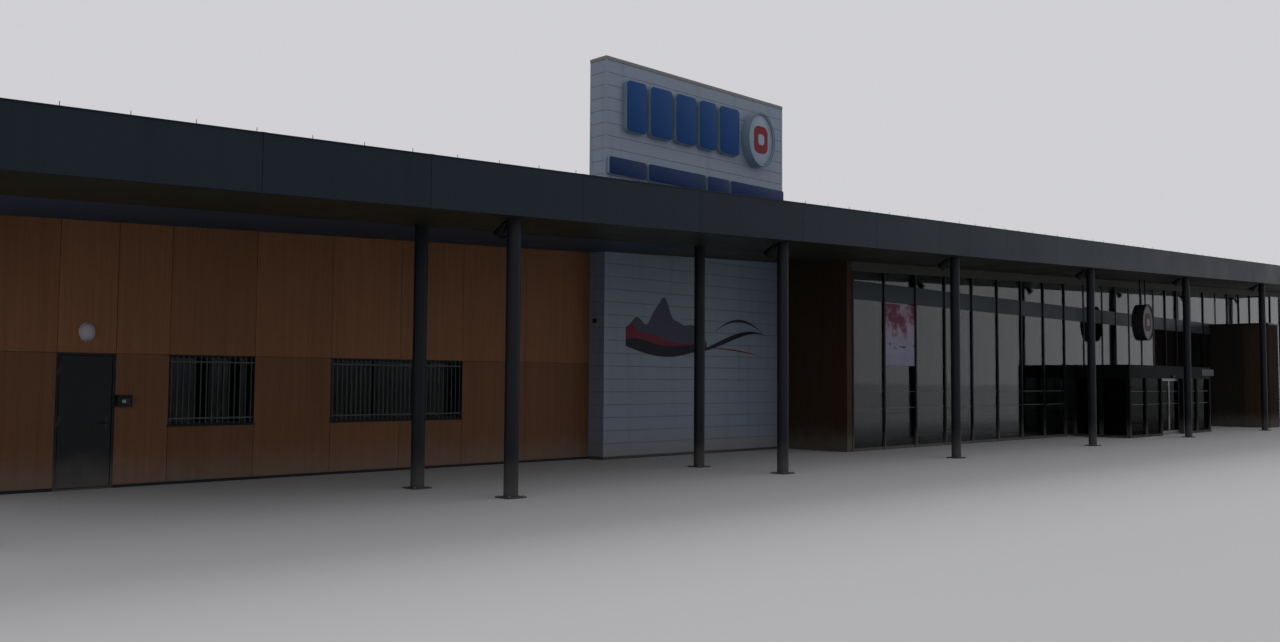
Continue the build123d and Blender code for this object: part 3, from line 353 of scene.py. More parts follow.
def make_weathering():
    """Mottled tone, rain streaks that run down, and dust near the ground."""
    sockets = {"Colour": (0.5, 0.5, 0.5, 1), "Roughness": 0.5, "Mottle": 0.2, "Streaks": 0.2, "Dust": 0.3,
               "Grain Scale": 60.0}
    tree, take, give = new_group("weathering", sockets, "Colour", "Roughness", "Height")
    dust_colour = (0.21, 0.19, 0.165, 1)
    patches = calc(tree, "SUBTRACT", noise(tree, 1.1, 5.0), 0.5)
    streak = remap(tree, noise(tree, (7.0, 7.0, 0.45), 5.0), 0.5, 0.74)
    grain = noise(tree, take["Grain Scale"], 3.0)
    edge = calc(tree, "MULTIPLY", calc(tree, "MULTIPLY", noise(tree, 6.0, 4.0), 0.5), 0.5)
    near_ground = remap(tree, calc(tree, "SUBTRACT", axes(tree)["Z"], edge), -0.1, 0.24, 1.0, 0.0)
    dust = calc(tree, "MULTIPLY", near_ground, take["Dust"])
    dark = calc(tree, "MULTIPLY", streak, take["Streaks"])
    tone = calc(tree, "MULTIPLY_ADD", patches, take["Mottle"], 1.0)
    tone = calc(tree, "SUBTRACT", tone, dark)
    tone = calc(tree, "MULTIPLY_ADD", calc(tree, "SUBTRACT", grain, 0.5), 0.06, tone)
    colour = blend_colour(tree, dust, shade(tree, take["Colour"], tone), dust_colour)
    rough = calc(tree, "MULTIPLY_ADD", patches, 0.25, take["Roughness"])
    rough = calc(tree, "MULTIPLY_ADD", dust, 0.3, rough)
    rough = add(tree, "Clamp", {0: rough, 1: 0.05, 2: 0.95}).outputs[0]
    feed(tree, give, {"Colour": colour, "Roughness": rough, "Height": grain})
    return tree


def make_veneer():
    """Upright wood figure: long soft bands, fine grain and short dark pores."""
    sockets = {"Light": (0.3, 0.15, 0.06, 1), "Dark": (0.15, 0.07, 0.03, 1), "Tone": 1.0}
    tree, take, give = new_group("veneer", sockets, "Colour", "Height")
    drift = noise(tree, (1.3, 1.3, 0.4), 3.0)
    bands = noise(tree, (34.0, 34.0, 0.6), 5.0, 0.6)
    fibre = noise(tree, (150.0, 150.0, 3.0), 3.0, 0.7)
    pores = remap(tree, noise(tree, (230.0, 230.0, 14.0), 2.0), 0.6, 0.72)
    figure = calc(tree, "MULTIPLY_ADD", fibre, 0.5, calc(tree, "MULTIPLY", bands, 0.5))
    colour = blend_colour(tree, remap(tree, figure, 0.34, 0.68), take["Light"], take["Dark"])
    tone = calc(tree, "MULTIPLY_ADD", calc(tree, "SUBTRACT", drift, 0.5), 0.3, take["Tone"])
    tone = calc(tree, "MULTIPLY_ADD", pores, -0.22, tone)
    feed(tree, give, {"Colour": shade(tree, colour, tone),
                      "Height": calc(tree, "MULTIPLY_ADD", pores, -0.6, fibre)})
    return tree


def make_joint_lines():
    """1 on narrow lines that repeat along one coordinate, 0 between them."""
    sockets = {"Along": 0.0, "Pitch": 1.0, "Width": 0.006, "Offset": 0.0}
    tree, take, give = new_group("joint lines", sockets, "Mask")
    moved = calc(tree, "SUBTRACT", take["Along"], take["Offset"])
    nearest = calc(tree, "PINGPONG", moved, calc(tree, "MULTIPLY", take["Pitch"], 0.5))
    feed(tree, give, {"Mask": calc(tree, "LESS_THAN", nearest, calc(tree, "MULTIPLY", take["Width"], 0.5))})
    return tree


WEATHERING, VENEER, JOINT_LINES = make_weathering(), make_veneer(), make_joint_lines()
FINISH = {}


def weathered(tree, shader, colour, roughness, mottle, streaks, dust, grain):
    """Puts the shared weathering on a shader's colour and roughness; returns its outputs."""
    out = use(tree, WEATHERING, {"Colour": colour, "Roughness": roughness, "Mottle": mottle,
                                 "Streaks": streaks, "Dust": dust, "Grain Scale": grain})
    feed(tree, shader, {"Base Color": out["Colour"], "Roughness": out["Roughness"]})
    return out


def start(name, **plain):
    """A finish with its Principled shader; plain values go on the shader's own sockets."""
    made = bpy.data.materials.new(name)
    made.use_nodes = True
    FINISH[name] = made
    tree = made.node_tree
    shader = tree.nodes["Principled BSDF"]
    return tree, feed(tree, shader, {key.replace("_", " "): value for key, value in plain.items()})


def painted(name, colour, level, roughness, mottle, streaks=0.0, dust=0.0, grain=60.0, depth=0.002,
            tone=None, **plain):
    """Paint, render, plastic or metal under the shared weathering."""
    tree, shader = start(name, Specular_IOR_Level=level, **plain)
    base = shade(tree, (*colour, 1), tone(tree)) if tone else (*colour, 1)
    out = weathered(tree, shader, base, roughness, mottle, streaks, dust, grain)
    relief(tree, shader, out["Height"], depth)


def panel_tone(edges, spread):
    """A tone that jumps at each edge along x: the panel's number picks a random value."""
    def build(tree):
        number = None
        x = axes(tree)["X"]
        for edge in edges:
            passed = calc(tree, "GREATER_THAN", x, float(edge))
            number = passed if number is None else calc(tree, "ADD", number, passed)
        random = add(tree, "TexWhiteNoise", {"W": number}, noise_dimensions="1D").outputs["Value"]
        return calc(tree, "MULTIPLY_ADD", random, spread, 1.0 - spread / 2)
    return build


def wood(name, light, dark, level, edges, spread=0.12, lift=None):
    """Laminate boards: a veneer whose tone differs by panel; below the height lift it is darkened as painted
    shade.
    """
    # Painted shade: panels below lift are darkened by this much, standing in for weaker light low on the
    # wall.
    painted_lower_shade = 0.27
    tree, shader = start(name, Specular_IOR_Level=level)
    tone = panel_tone(edges, spread)(tree)
    if lift:
        upper = calc(tree, "GREATER_THAN", axes(tree)["Z"], lift)
        tone = calc(tree, "MULTIPLY_ADD", upper, painted_lower_shade, calc(tree, "SUBTRACT", tone, painted_lower_shade))
    grain = use(tree, VENEER, {"Light": (*light, 1), "Dark": (*dark, 1), "Tone": tone})
    weathered(tree, shader, grain["Colour"], 0.52, mottle=0.16, streaks=0.1, dust=0.35, grain=30.0)
    relief(tree, shader, grain["Height"], 0.0015, 0.5)


def jointed(name, colour, joint_colour, roughness, pitch, width, offset=(0.0, 0.0), **plain):
    """Sheets or tiles with narrow joints at the given pitch along X and Y."""
    tree, shader = start(name, **plain)
    place = axes(tree)
    lines = [use(tree, JOINT_LINES, {"Along": place[axis], "Pitch": step, "Width": width,
                                     "Offset": shift})["Mask"]
             for axis, step, shift in zip("XY", pitch, offset) if step]
    line = lines[0] if len(lines) == 1 else calc(tree, "MAXIMUM", lines[0], lines[1])
    out = weathered(tree, shader, (*colour, 1), roughness, mottle=0.18, streaks=0.0, dust=0.0, grain=25.0)
    feed(tree, shader, {"Base Color": blend_colour(tree, line, out["Colour"], (*joint_colour, 1)),
                        "Roughness": calc(tree, "MULTIPLY_ADD", line, 0.3, out["Roughness"])})
    relief(tree, shader, calc(tree, "MULTIPLY_ADD", line, -3.0, out["Height"]), 0.002, 0.35)


def glazing(name, tint, ior, metallic):
    """Glass with a faint film of dust and a slight wave in its face."""
    tree, shader = start(name, Transmission_Weight=1.0, IOR=ior, Metallic=metallic)
    film = noise(tree, (3.0, 3.0, 0.8), 5.0)
    feed(tree, shader, {"Roughness": calc(tree, "MULTIPLY", film, 0.05),
                        "Base Color": shade(tree, (*tint, 1), remap(tree, film, 0.3, 0.7, 0.93, 1.0))})
    relief(tree, shader, noise(tree, 1.6, 1.0), 0.01, 0.05)


def poster_print(name):
    """A soft print: rosy blotches above a pale lilac ground with thin ruled lines."""
    tree, shader = start(name, Specular_IOR_Level=0.2)
    lilac, blush, rose = (0.22, 0.215, 0.30, 1), (0.27, 0.215, 0.27, 1), (0.13, 0.03, 0.065, 1)
    plum, violet = (0.07, 0.045, 0.09, 1), (0.12, 0.10, 0.22, 1)
    z = axes(tree)["Z"]
    blotch = remap(tree, noise(tree, 4.5, 6.0, 0.62), 0.44, 0.6)
    upper = remap(tree, z, 1.42, 1.62)
    ground = blend_colour(tree, upper, lilac, blush)
    rosy = blend_colour(tree, calc(tree, "MULTIPLY", blotch, upper), ground, rose)
    stroke = remap(tree, noise(tree, (9.0, 9.0, 26.0), 3.0), 0.53, 0.57)
    belt = calc(tree, "MULTIPLY", remap(tree, z, 1.32, 1.36), remap(tree, z, 1.44, 1.4))
    inked = blend_colour(tree, calc(tree, "MULTIPLY", stroke, belt), rosy, plum)
    lines = use(tree, JOINT_LINES, {"Along": z, "Pitch": 0.028, "Width": 0.01})["Mask"]
    foot = calc(tree, "MULTIPLY", lines, remap(tree, z, 1.285, 1.28))
    flecks = calc(tree, "MULTIPLY", foot, remap(tree, noise(tree, 60.0, 1.0), 0.4, 0.45))
    feed(tree, shader, {"Base Color": blend_colour(tree, calc(tree, "MULTIPLY", flecks, 0.5), inked, violet),
                        "Roughness": remap(tree, blotch, 0.0, 1.0, 0.45, 0.6)})


# Finishes
def board_lines(tree):
    """Darkens thin level lines at the joints of the tower's boards."""
    sockets = {"Along": axes(tree)["Z"], "Pitch": BOARD_PITCH, "Width": 0.007, "Offset": BOARD_FOOT}
    return calc(tree, "MULTIPLY_ADD", use(tree, JOINT_LINES, sockets)["Mask"], -0.2, 1.0)


def painted_joint_shade(tree):
    """Painted shade: the wall's outer side, seen in the joints between the panels, is made almost black."""
    outer = calc(tree, "LESS_THAN", axes(tree)["Y"], WOOD_FACE + 0.02)
    return calc(tree, "MULTIPLY_ADD", outer, -0.95, 1.0)


def fascia_joints():
    """Edges of the fascia panels: uneven widths in the west, then even ones."""
    edges = list(WEST + np.cumsum(FASCIA_WEST_PANELS))
    while edges[-1] + FASCIA_PANEL < EAST:
        edges.append(edges[-1] + FASCIA_PANEL)
    return edges


# Colour, specular level, roughness, mottle, streaks, dust, grain scale, bump depth, tone
PAINTS = {
    "anthracite_sheet": ((0.0115, 0.0190, 0.0285), 0.12, 0.42, 0.16, 0.1, 0.0, 9.0, 0.004,
                         panel_tone(fascia_joints(), 0.12)),
    "coping": ((0.012, 0.016, 0.022), 0.2, 0.35, 0.1, 0.0, 0.0, 12.0),
    "anthracite_steel": ((0.009, 0.012, 0.017), 0.14, 0.4, 0.16, 0.12, 0.25, 90.0, 0.0008),
    "wall_sheet": ((0.24, 0.25, 0.26), 0.5, 0.45, 0.12, 0.18, 0.5, 20.0),
    # blockwork: its outer side is darkened as painted shade in the panel joints
    "blockwork": ((0.42, 0.41, 0.38), 0.5, 0.85, 0.2, 0.05, 0.2, 60.0, 0.004, painted_joint_shade),
    "door_paint": ((0.018, 0.020, 0.024), 0.1, 0.4, 0.2, 0.15, 0.35, 50.0, 0.001),
    "lamp_black": ((0.008, 0.008, 0.009), 0.15, 0.4, 0.2, 0.0, 0.1, 150.0, 0.0006),
    "window_frame": ((0.009, 0.011, 0.013), 0.12, 0.38, 0.15, 0.1, 0.3),
    "bar_steel": ((0.058, 0.068, 0.068), 0.2, 0.4, 0.15, 0.1, 0.2, 120.0, 0.0006),
    # siding: white boards whose darker blue-grey colour is partly their own and partly painted shade lit by
    # the sky
    "siding": ((0.190, 0.232, 0.297), 0.3, 0.4, 0.1, 0.13, 0.6, 35.0, 0.0015, board_lines),
    "light_coping": ((0.15, 0.145, 0.14), 0.5, 0.45, 0.14, 0.1),
    "primed_steel": ((0.25, 0.25, 0.26), 0.5, 0.5, 0.2, 0.1, 0.2),
    "sign_side": ((0.17, 0.235, 0.30), 0.3, 0.35, 0.12, 0.2, 0.0, 30.0),
    "sign_white": ((0.23, 0.285, 0.36), 0.3, 0.3, 0.06, 0.1, 0.0, 30.0),
    "sign_blue": ((0.012, 0.052, 0.165), 0.06, 0.4, 0.14, 0.06, 0.0, 30.0),
    "line_blue": ((0.005, 0.021, 0.080), 0.12, 0.4, 0.14, 0.06, 0.0, 30.0),
    "sign_red": ((0.17, 0.009, 0.017), 0.15, 0.35, 0.12, 0.06, 0.0, 30.0),
    "rim_grey": ((0.05, 0.06, 0.07), 0.2, 0.35, 0.1, 0.1),
    "drum_side": ((0.03, 0.03, 0.032), 0.15, 0.4, 0.15, 0.2),
    "drum_white": ((0.21, 0.22, 0.235), 0.1, 0.3, 0.06, 0.1, 0.0, 30.0),
    "drum_red": ((0.062, 0.009, 0.013), 0.1, 0.35, 0.12, 0.06, 0.0, 30.0),
    "plate_face": ((0.035, 0.038, 0.042), 0.1, 0.4, 0.1, 0.06, 0.0, 30.0),
    "hall_frame": ((0.008, 0.010, 0.011), 0.12, 0.35, 0.12, 0.06, 0.4, 60.0, 0.0008),
    "band": ((0.040, 0.050, 0.060), 0.06, 0.35, 0.1, 0.06, 0.0, 12.0),
    "head_sheet": ((0.058, 0.058, 0.050), 0.06, 0.5, 0.12, 0.06, 0.3, 60.0, 0.0008),
    "lobby_frame": ((0.006, 0.007, 0.008), 0.01, 0.35, 0.12, 0.08, 0.3, 60.0, 0.0008),
    "rubber": ((0.02, 0.02, 0.02), 0.5, 0.8, 0.2, 0.0, 0.4, 200.0, 0.001),
    "film": ((0.085, 0.09, 0.088), 0.5, 0.6, 0.05),
    "mural_navy": ((0.012, 0.014, 0.026), 0.15, 0.5, 0.25, 0.05, 0.0, 40.0),
    "mural_red": ((0.15, 0.020, 0.034), 0.15, 0.5, 0.25, 0.05, 0.0, 40.0),
    "mural_grey": ((0.02, 0.023, 0.03), 0.15, 0.5, 0.25, 0.05, 0.0, 40.0),
    "mural_haze": ((0.056, 0.060, 0.096), 0.15, 0.5, 0.3, 0.05, 0.0, 6.0),
    "steel": ((0.3, 0.3, 0.3), 0.5, 0.3, 0.2, 0.1, 0.2, 120.0, 0.0005),
    "bronze": ((0.035, 0.034, 0.033), 0.15, 0.4, 0.2, 0.1, 0.3, 120.0, 0.0005),
    "aluminium": ((0.2, 0.21, 0.22), 0.5, 0.32, 0.1, 0.05, 0.3, 140.0, 0.0004),
    "rivet": ((0.2, 0.105, 0.06), 0.5, 0.35, 0.1),
}
METALS = {"steel": 1.0, "bronze": 0.6, "aluminium": 0.9, "rivet": 0.3}
BOX_JOINTS = [8.83, 9.05]
for finish_name, values in PAINTS.items():
    painted(finish_name, *values, Metallic=METALS.get(finish_name, 0.0))
painted("lamp_cover", (0.38, 0.37, 0.39), 0.5, 0.35, 0.1, 0.08, grain=30.0, Subsurface_Weight=0.1,
        Coat_Weight=0.1)
painted("lens", (0.3, 0.3, 0.28), 0.5, 0.12, 0.05, grain=80.0, Coat_Weight=0.5)
# lining: its olive-brown colour is a painted reflection of the wood wall and green planting in a grey sheet
jointed("lining", (0.027, 0.031, 0.021), (0.007, 0.008, 0.006), 0.42, (1.19, 0.62), 0.004, (0.3, -8.15),
        Specular_IOR_Level=0.06)
# rear lining: its blue-grey colour is a painted reflection of the sky
jointed("dark_lining", (0.032, 0.055, 0.090), (0.008, 0.010, 0.014), 0.55, (1.19, 0.0), 0.004, (0.3, 0.0),
        Specular_IOR_Level=0.15)
jointed("membrane", (0.2, 0.21, 0.22), (0.14, 0.145, 0.15), 0.8, (0.9, 0.0), 0.006, (0.1, 0.0))
jointed("floor_tiles", (0.2, 0.195, 0.185), (0.1, 0.095, 0.09), 0.3, (0.3, 0.3), 0.003, Coat_Weight=0.2)
wood("wood", (0.226, 0.104, 0.049), (0.180, 0.079, 0.036), 0.14, WOOD_EDGES, 0.14, lift=1.08)
# Painted shade: front_boards_painted_shade, wood_painted_shade and shade_wood are one wood darkened for the
# shaded box and return wall, each face to its own depth
wood("front_boards_painted_shade", (0.022, 0.012, 0.008), (0.015, 0.009, 0.006), 0.006, BOX_JOINTS)
wood("shade_wood", (0.030, 0.024, 0.018), (0.022, 0.017, 0.013), 0.05, BOX_JOINTS)
wood("wood_painted_shade", (0.056, 0.034, 0.021), (0.038, 0.023, 0.015), 0.05, BOX_JOINTS)
glazing("hall_glass", (0.42, 0.46, 0.46), 1.33, 0.032)
glazing("lobby_glass", (0.17, 0.20, 0.20), 1.06, 0.0)
glazing("clear_glass", (0.36, 0.40, 0.40), 1.2, 0.0)
poster_print("poster_print")

NODE_FINISH = {
    "floor_tiles": ["floor_slab"],
    "wall_sheet": ["west_wall", "east_wall", "rear_wall"],
    "membrane": ["roof_deck", "roof_upstand"],
    "anthracite_sheet": ["fascia_front", "fascia_sides"],
    "coping": ["roof_coping"],
    "lining": ["canopy_lining"],
    "dark_lining": ["rear_lining"],
    "anthracite_steel": ["edge_beam", "cross_beams", "front_columns", "rear_columns", "drum_hangers"],
    "lamp_black": ["column_spotlights", "keypad_box"],
    "blockwork": ["front_wall_west", "front_wall_over_door", "front_wall_east"],
    "wood": ["wood_panels_lower", "wood_panels_upper"],
    "wood_painted_shade": ["return_wall", "brown_box"],
    "door_paint": ["service_door_frame", "service_door_leaf"],
    "bronze": ["door_hinges_fixed", "door_hinges_moving", "service_door_handle"],
    "lamp_cover": ["bulkhead_lamp"],
    "window_frame": ["window_frames"],
    "clear_glass": ["window_glass"],
    "lobby_glass": ["vestibule_glass", "entrance_glass_west", "entrance_glass_east"],
    "siding": ["tower_front", "tower_shell", "infill_wall"],
    "light_coping": ["tower_coping"],
    "primed_steel": ["tower_posts"],
    "sign_side": ["oval_sign", "sign_blocks"],
    "drum_side": ["drum_sign"],
    "hall_frame": ["hall_mullions", "hall_sill"],
    "head_sheet": ["hall_head_wall"],
    "hall_glass": ["hall_glass"],
    "band": ["hall_band"],
    "lobby_frame": ["vestibule_posts", "vestibule_sills", "vestibule_roof", "entrance_track"],
    "aluminium": ["entrance_leaf_west", "entrance_leaf_east"],
    "plate_face": ["plate_sign"],
}
for finish_name, node_names in NODE_FINISH.items():
    for node_name in node_names:
        node_mesh = NODES[node_name].data
        node_mesh.materials.clear()
        node_mesh.materials.append(FINISH[finish_name])


# Tower
def tower_siding():
    """Boards along X or Y whose section is a low trapezoid, so neighbours meet in a V."""
    x0, x1, y0, y1 = TOWER_PLAN
    z = BOARD_FOOT + BOARD_PITCH * np.arange(BOARD_COUNT)
    steps = [(-INSET, 0), (BOARD_PROUD, BOARD_BEVEL), (BOARD_PROUD, BOARD_PITCH - BOARD_BEVEL),
             (-INSET, BOARD_PITCH)]
    trim = 0.016

    def rows(chosen, a, b, out):
        """Boards at the chosen heights from plan point a to b, standing out along out."""
        section = np.array([(o * out[0], o * out[1], h) for o, h in steps])
        heights = z[chosen][:, None]
        return runs(section, *(np.hstack([np.tile(end, (len(heights), 1)), heights]) for end in (a, b)))

    every = np.ones(BOARD_COUNT, bool)
    clear = z + BOARD_PITCH > deck(x1)
    sides = {"front": [rows(every, (x0 + trim, y0), (x1 - trim, y0), (0, -1))],
             "west": [rows(every, (x0, y0 + trim), (x0, SIDING_STOP), (-1, 0))],
             "back": [rows(clear, (x0 + trim, y1), (x1 - trim, y1), (0, 1)),
                      rows(clear, (x1, y0 + trim), (x1, y1 - trim), (1, 0))]}
    for side, boards in sides.items():
        piece("siding_" + side, boards, "siding")


def corner_trims():
    """L-shaped plan outlines at the tower's corners, carried up its height, and a plinth."""
    proud, wide, plinth, west_foot, east_foot = BOARD_PROUD + 0.0015, 0.018, 0.003, 2.6, 2.7
    ell = np.array([(-proud, -proud), (wide, -proud), (wide, INSET), (INSET, INSET), (INSET, wide),
                    (-proud, wide)])
    x0, x1, y0, y1 = TOWER_PLAN
    corners = [((x0, y0), (1, 1), BOARD_FOOT), ((x1, y0), (-1, 1), BOARD_FOOT),
               ((x0, y1), (1, -1), west_foot), ((x1, y1), (-1, -1), east_foot)]
    plan = np.stack([np.array(corner) + ell * turn for corner, turn, _ in corners])
    feet = np.array([foot for *_, foot in corners])
    piece("tower_corner_trims", [upright(plan, feet, TOWER_HIGH.z)], "siding")
    piece("tower_plinth", [boxes(x0 - plinth, x1, y0 - plinth, y0 + INSET, 0, BOARD_FOOT),
                           boxes(x0 - plinth, x0 + INSET, y0 + INSET, SIDING_STOP, 0, BOARD_FOOT)],
          "window_frame")


def tower_flashing():
    """Upturned roof membrane round the tower's foot, following the roof's rise."""
    thick, top = 0.008, above(deck, 0.085)
    x0, x1, y0, y1 = TOWER_PLAN
    parts = [boxes(x0 - thick, x1 + thick, y0 - thick, y0 - SINK, deck, top),
             boxes(x0 - thick, x1 + thick, y1 + SINK, y1 + thick, deck, top),
             boxes([x0 - thick, x1 + SINK], [x0 - SINK, x1 + thick], y0, y1, deck, top)]
    piece("tower_flashing", parts, "membrane")


def oval_face(name, node, rim, recess, white, red):
    """A white face in the recess, a thin dark rim round it and a plain rounded mark."""
    (x, y, z), a, b = middle_of(node)
    rim_inset, rim_radius, rim_depth = 0.006, 0.0045, 0.004
    mark_back, mark_thick, middle_back, middle_thick = y + recess - 0.005, 0.007, y + recess - 0.0115, 0.004
    edge = [(0, 0.997), (0.004, 0.997), (0.006, 0.985)]
    face = oval((x, y + recess + SINK, z), a - rim, b - rim, edge, sides=72)
    piece(name + "_face", [face], white, smooth=40)
    u = 2 * np.pi * np.arange(12) / 12
    tube = np.stack([rim_depth * np.cos(u), rim_inset + rim_radius * np.sin(u)], -1)
    piece(name + "_rim", [hoop((x, y, z), a, b, tube, sides=96)], "rim_grey", smooth=50)
    mark = round_rectangle(a * 1.02, b * 1.0, a * 0.34, 8)
    piece(name + "_mark", [plates(mark, (x, mark_back, z), mark_thick, 0.002)], red, smooth=40)
    inner = round_rectangle(a * 0.46, b * 0.4, a * 0.16, 8)
    piece(name + "_mark_middle", [plates(inner, (x, middle_back, z), middle_thick, 0.0015)], white,
          smooth=40)


def tower_socket():
    """A small hooded outlet on the tower's west side: a rounded plate, a lid and its hinge."""
    centre = np.array((TOWER_LOW.x - BOARD_PROUD, -5.40, 1.565))
    plate, lid, hinge = ((0.050, 0.050, 0.008, 4), (0.044, 0.034, 0.006, 4), (0.046, 0.008, 0.003, 3))

    def slab(outline, proud, lift=0.0):
        """A plate that faces -X, lifted from the middle."""
        shape = round_rectangle(*outline)
        ring = [spots(-out, shape[:, 0], shape[:, 1] + lift) for out in (-INSET, proud)]
        return (centre + np.stack(ring))[None]

    piece("tower_socket", [slab(plate, 0.010), slab(lid, 0.020, -0.004), slab(hinge, 0.016, 0.018)],
          "lamp_black")


def sign_faces():
    """Coloured face plates on both rows of blocks, and the two oval signs."""
    low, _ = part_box("sign_blocks")
    margin, thick, bevel = 0.006, 0.006, 0.002
    rows = [("sign_tall_faces", low.y, TALL_BLOCKS, TALL_GAP, low.x + TALL_START, TALL_HEIGHTS, 0.060,
             "sign_blue"),
            ("sign_low_faces", low.y + LOW_BLOCKS_BACK, LOW_BLOCKS, LOW_GAP, low.x, LOW_HEIGHTS, 0.030,
             "line_blue")]
    for name, face, widths, gap, west, (z0, z1), corner, finish in rows:
        starts = west + np.concatenate([[0], np.cumsum(np.array(widths[:-1]) + gap)])
        made = [plates(round_rectangle(w - margin, z1 - z0 - margin, corner - margin / 2, 6),
                       (x + w / 2, face + SINK, (z0 + z1) / 2), thick, bevel)
                for x, w in zip(starts, widths)]
        piece(name, made, finish, smooth=40)
    oval_face("tower_sign", "oval_sign", 0.024, 0.025, "sign_white", "sign_red")
    oval_face("drum", "drum_sign", 0.022, 0.020, "drum_white", "drum_red")


def mural():
    """Ranges of hills and long strokes: each a flat band between two curves of x."""
    face = TOWER_LOW.y - BOARD_PROUD
    x = np.linspace(-7.86, -6.46, 110)
    s = (x - x[0]) / (x[-1] - x[0])
    bowl = 1.286 - 0.118 * np.sin(np.pi * np.clip(s / 0.98, 0, 1)) + 0.012 * s
    taper = np.clip(np.minimum(s + 0.5, 1.04 - s) / 0.1, 0, 1)

    def hills(level, peaks):
        """Level plus Gaussian bumps (height, middle, width) of the share s, above the bowl."""
        ridge = level + sum(h * np.exp(-((s - m) / w) ** 2) for h, m, w in peaks)
        return bowl + (ridge - bowl) * taper

    def stroke(name, ends, curve, thick, finish, slot):
        """A band about a curve whose half thickness follows a sine arch of the share."""
        x = np.linspace(*ends, 90)
        s = (x - x[0]) / (x[-1] - x[0])
        half = 0.0015 + thick * np.sin(np.pi * s) ** 1.2
        piece(name, [flat_band(x, curve(s) - half, curve(s) + half, face, 0.0012)], finish)

    far = hills(1.47, [(0.16, 0.13, 0.09), (0.385, 0.46, 0.085), (0.2, 0.34, 0.08), (0.12, 0.62, 0.09),
                       (0.1, 0.8, 0.1)])
    middle = hills(1.40, [(0.14, 0.06, 0.1), (0.05, 0.3, 0.12), (-0.06, 0.7, 0.3)])
    near = hills(1.33, [(0.05, 0.1, 0.2), (-0.03, 0.5, 0.2)])
    for name, top, proud, finish, slot in (("far", far, 0.0012, "mural_haze", "hall_frame"),
                                           ("middle", middle, 0.002, "mural_red", "sign_blue"),
                                           ("near", near, 0.0028, "mural_navy", "sign_blue")):
        piece("mural_%s_hills" % name, [flat_band(x, bowl, top, face, proud)], finish)
    stroke("mural_swoosh", (-6.75, -5.30), lambda s: 1.235 + 0.325 * np.sin(0.5 * np.pi * s) ** 1.6
           - 0.075 * s ** 6, 0.030, "mural_navy", "sign_blue")
    stroke("mural_thin_stroke", (-6.48, -5.40), lambda s: 1.30 - 0.085 * s ** 2.2, 0.008, "mural_red",
           "sign_blue")
    stroke("mural_upper_stroke", (-6.30, -5.35), lambda s: 1.50 + 0.16 * np.sin(np.pi * s) ** 0.8,
           0.016, "mural_grey", "hall_frame")


# Roof
def roof_details():
    """Pins on the front edge, straps over the coping joints and welded membrane laps."""
    x, pin_back = np.arange(PIN_START, EAST, PIN_STEP), 0.012
    feet = spots(x, FRONT + pin_back, roof_foot(x) + COPING_TOP - INSET)
    pin = [(0, 0.005), (0.003, 0.005), (0.0035, 0.0022), (0.026, 0.0022), (0.029, 0.001)]
    piece("roof_edge_pins", [turned(feet, (0, 0, 1), pin, 8)], "anthracite_steel",
          smooth=50)
    joints = np.array(fascia_joints())
    half, overhang, thick = 0.02, 0.0075, 0.0015
    low, high = above(roof_foot, COPING_TOP - SINK), above(roof_foot, COPING_TOP + thick)
    front, rear, depth = FRONT - overhang, REAR + overhang, COPING_DEPTH + overhang
    straps = [boxes(joints - half, joints + half, front, front + depth, low, high),
              boxes(joints - half, joints + half, rear - depth, rear, low, high)]
    piece("coping_straps", straps, "coping")
    lap, lap_pitch, lap_thick, edge, clear, first, last = 0.05, 0.9, 0.002, 0.005, 0.012, 0.95, 0.2
    laps = np.arange(WEST + first, EAST - last, lap_pitch)
    crossing = (laps > TOWER_LOW.x - lap) & (laps < TOWER_HIGH.x + lap)
    y0, y1, top = FRONT + COPING_DEPTH + edge, REAR - COPING_DEPTH - edge, above(deck, lap_thick)
    sheets = [boxes(x, x + lap, a, b, deck, top)
              for x, a, b in ((laps[~crossing], y0, y1), (laps[crossing], y0, TOWER_LOW.y - clear),
                              (laps[crossing], TOWER_BACK + clear, y1))]
    piece("membrane_laps", sheets, "membrane")


# Side and rear walls
def ribbed_walls():
    """Upright trapezoid ribs on the outer sheets, cut at the top to the roof's rise."""
    root, crest, first, last, plinth = 0.03, 0.018, 0.06, 0.04, 0.004
    trim_wide, trim_proud, rear_gap, side_gap = 0.03, 0.011, 0.002, 0.004
    x = np.arange(WALL_WEST + first, WALL_EAST - last, RIB_STEP)
    rib = np.array([(-root, -INSET), (root, -INSET), (crest, RIB_PROUD), (-crest, RIB_PROUD)])
    rear = np.stack([x, np.full_like(x, WALL_REAR)], -1)[:, None] + rib
    piece("ribs_rear", [upright(rear, RIB_FOOT, above(roof_foot, -rear_gap))], "wall_sheet")
    side = rib[:, ::-1]
    for label, wall, out in (("west", WALL_WEST, -1), ("east", WALL_EAST, 1)):
        y_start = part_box(label + "_wall")[0].y
        y = np.arange(y_start + first, WALL_REAR - last, RIB_STEP)
        plan = np.stack([np.full_like(y, wall), y], -1)[:, None] + side * (out, 1)
        level = roof_foot(wall) - side_gap
        piece("ribs_" + label, [upright(plan, RIB_FOOT, level)], "wall_sheet")
        trim = boxes(*sorted((wall - out * INSET, wall + out * plinth)), y_start, WALL_REAR, 0.0, RIB_FOOT)
        corner = boxes(*sorted((wall - out * trim_wide, wall + out * trim_proud)), WALL_REAR - trim_wide,
                       WALL_REAR + trim_proud, 0.0, level)
        piece("ribs_%s_trim" % label, [trim, corner], "coping")
    piece("rear_plinth", [boxes(WALL_WEST + trim_wide, WALL_EAST - trim_wide, WALL_REAR - INSET,
                                WALL_REAR + plinth, 0.0, RIB_FOOT)], "coping")


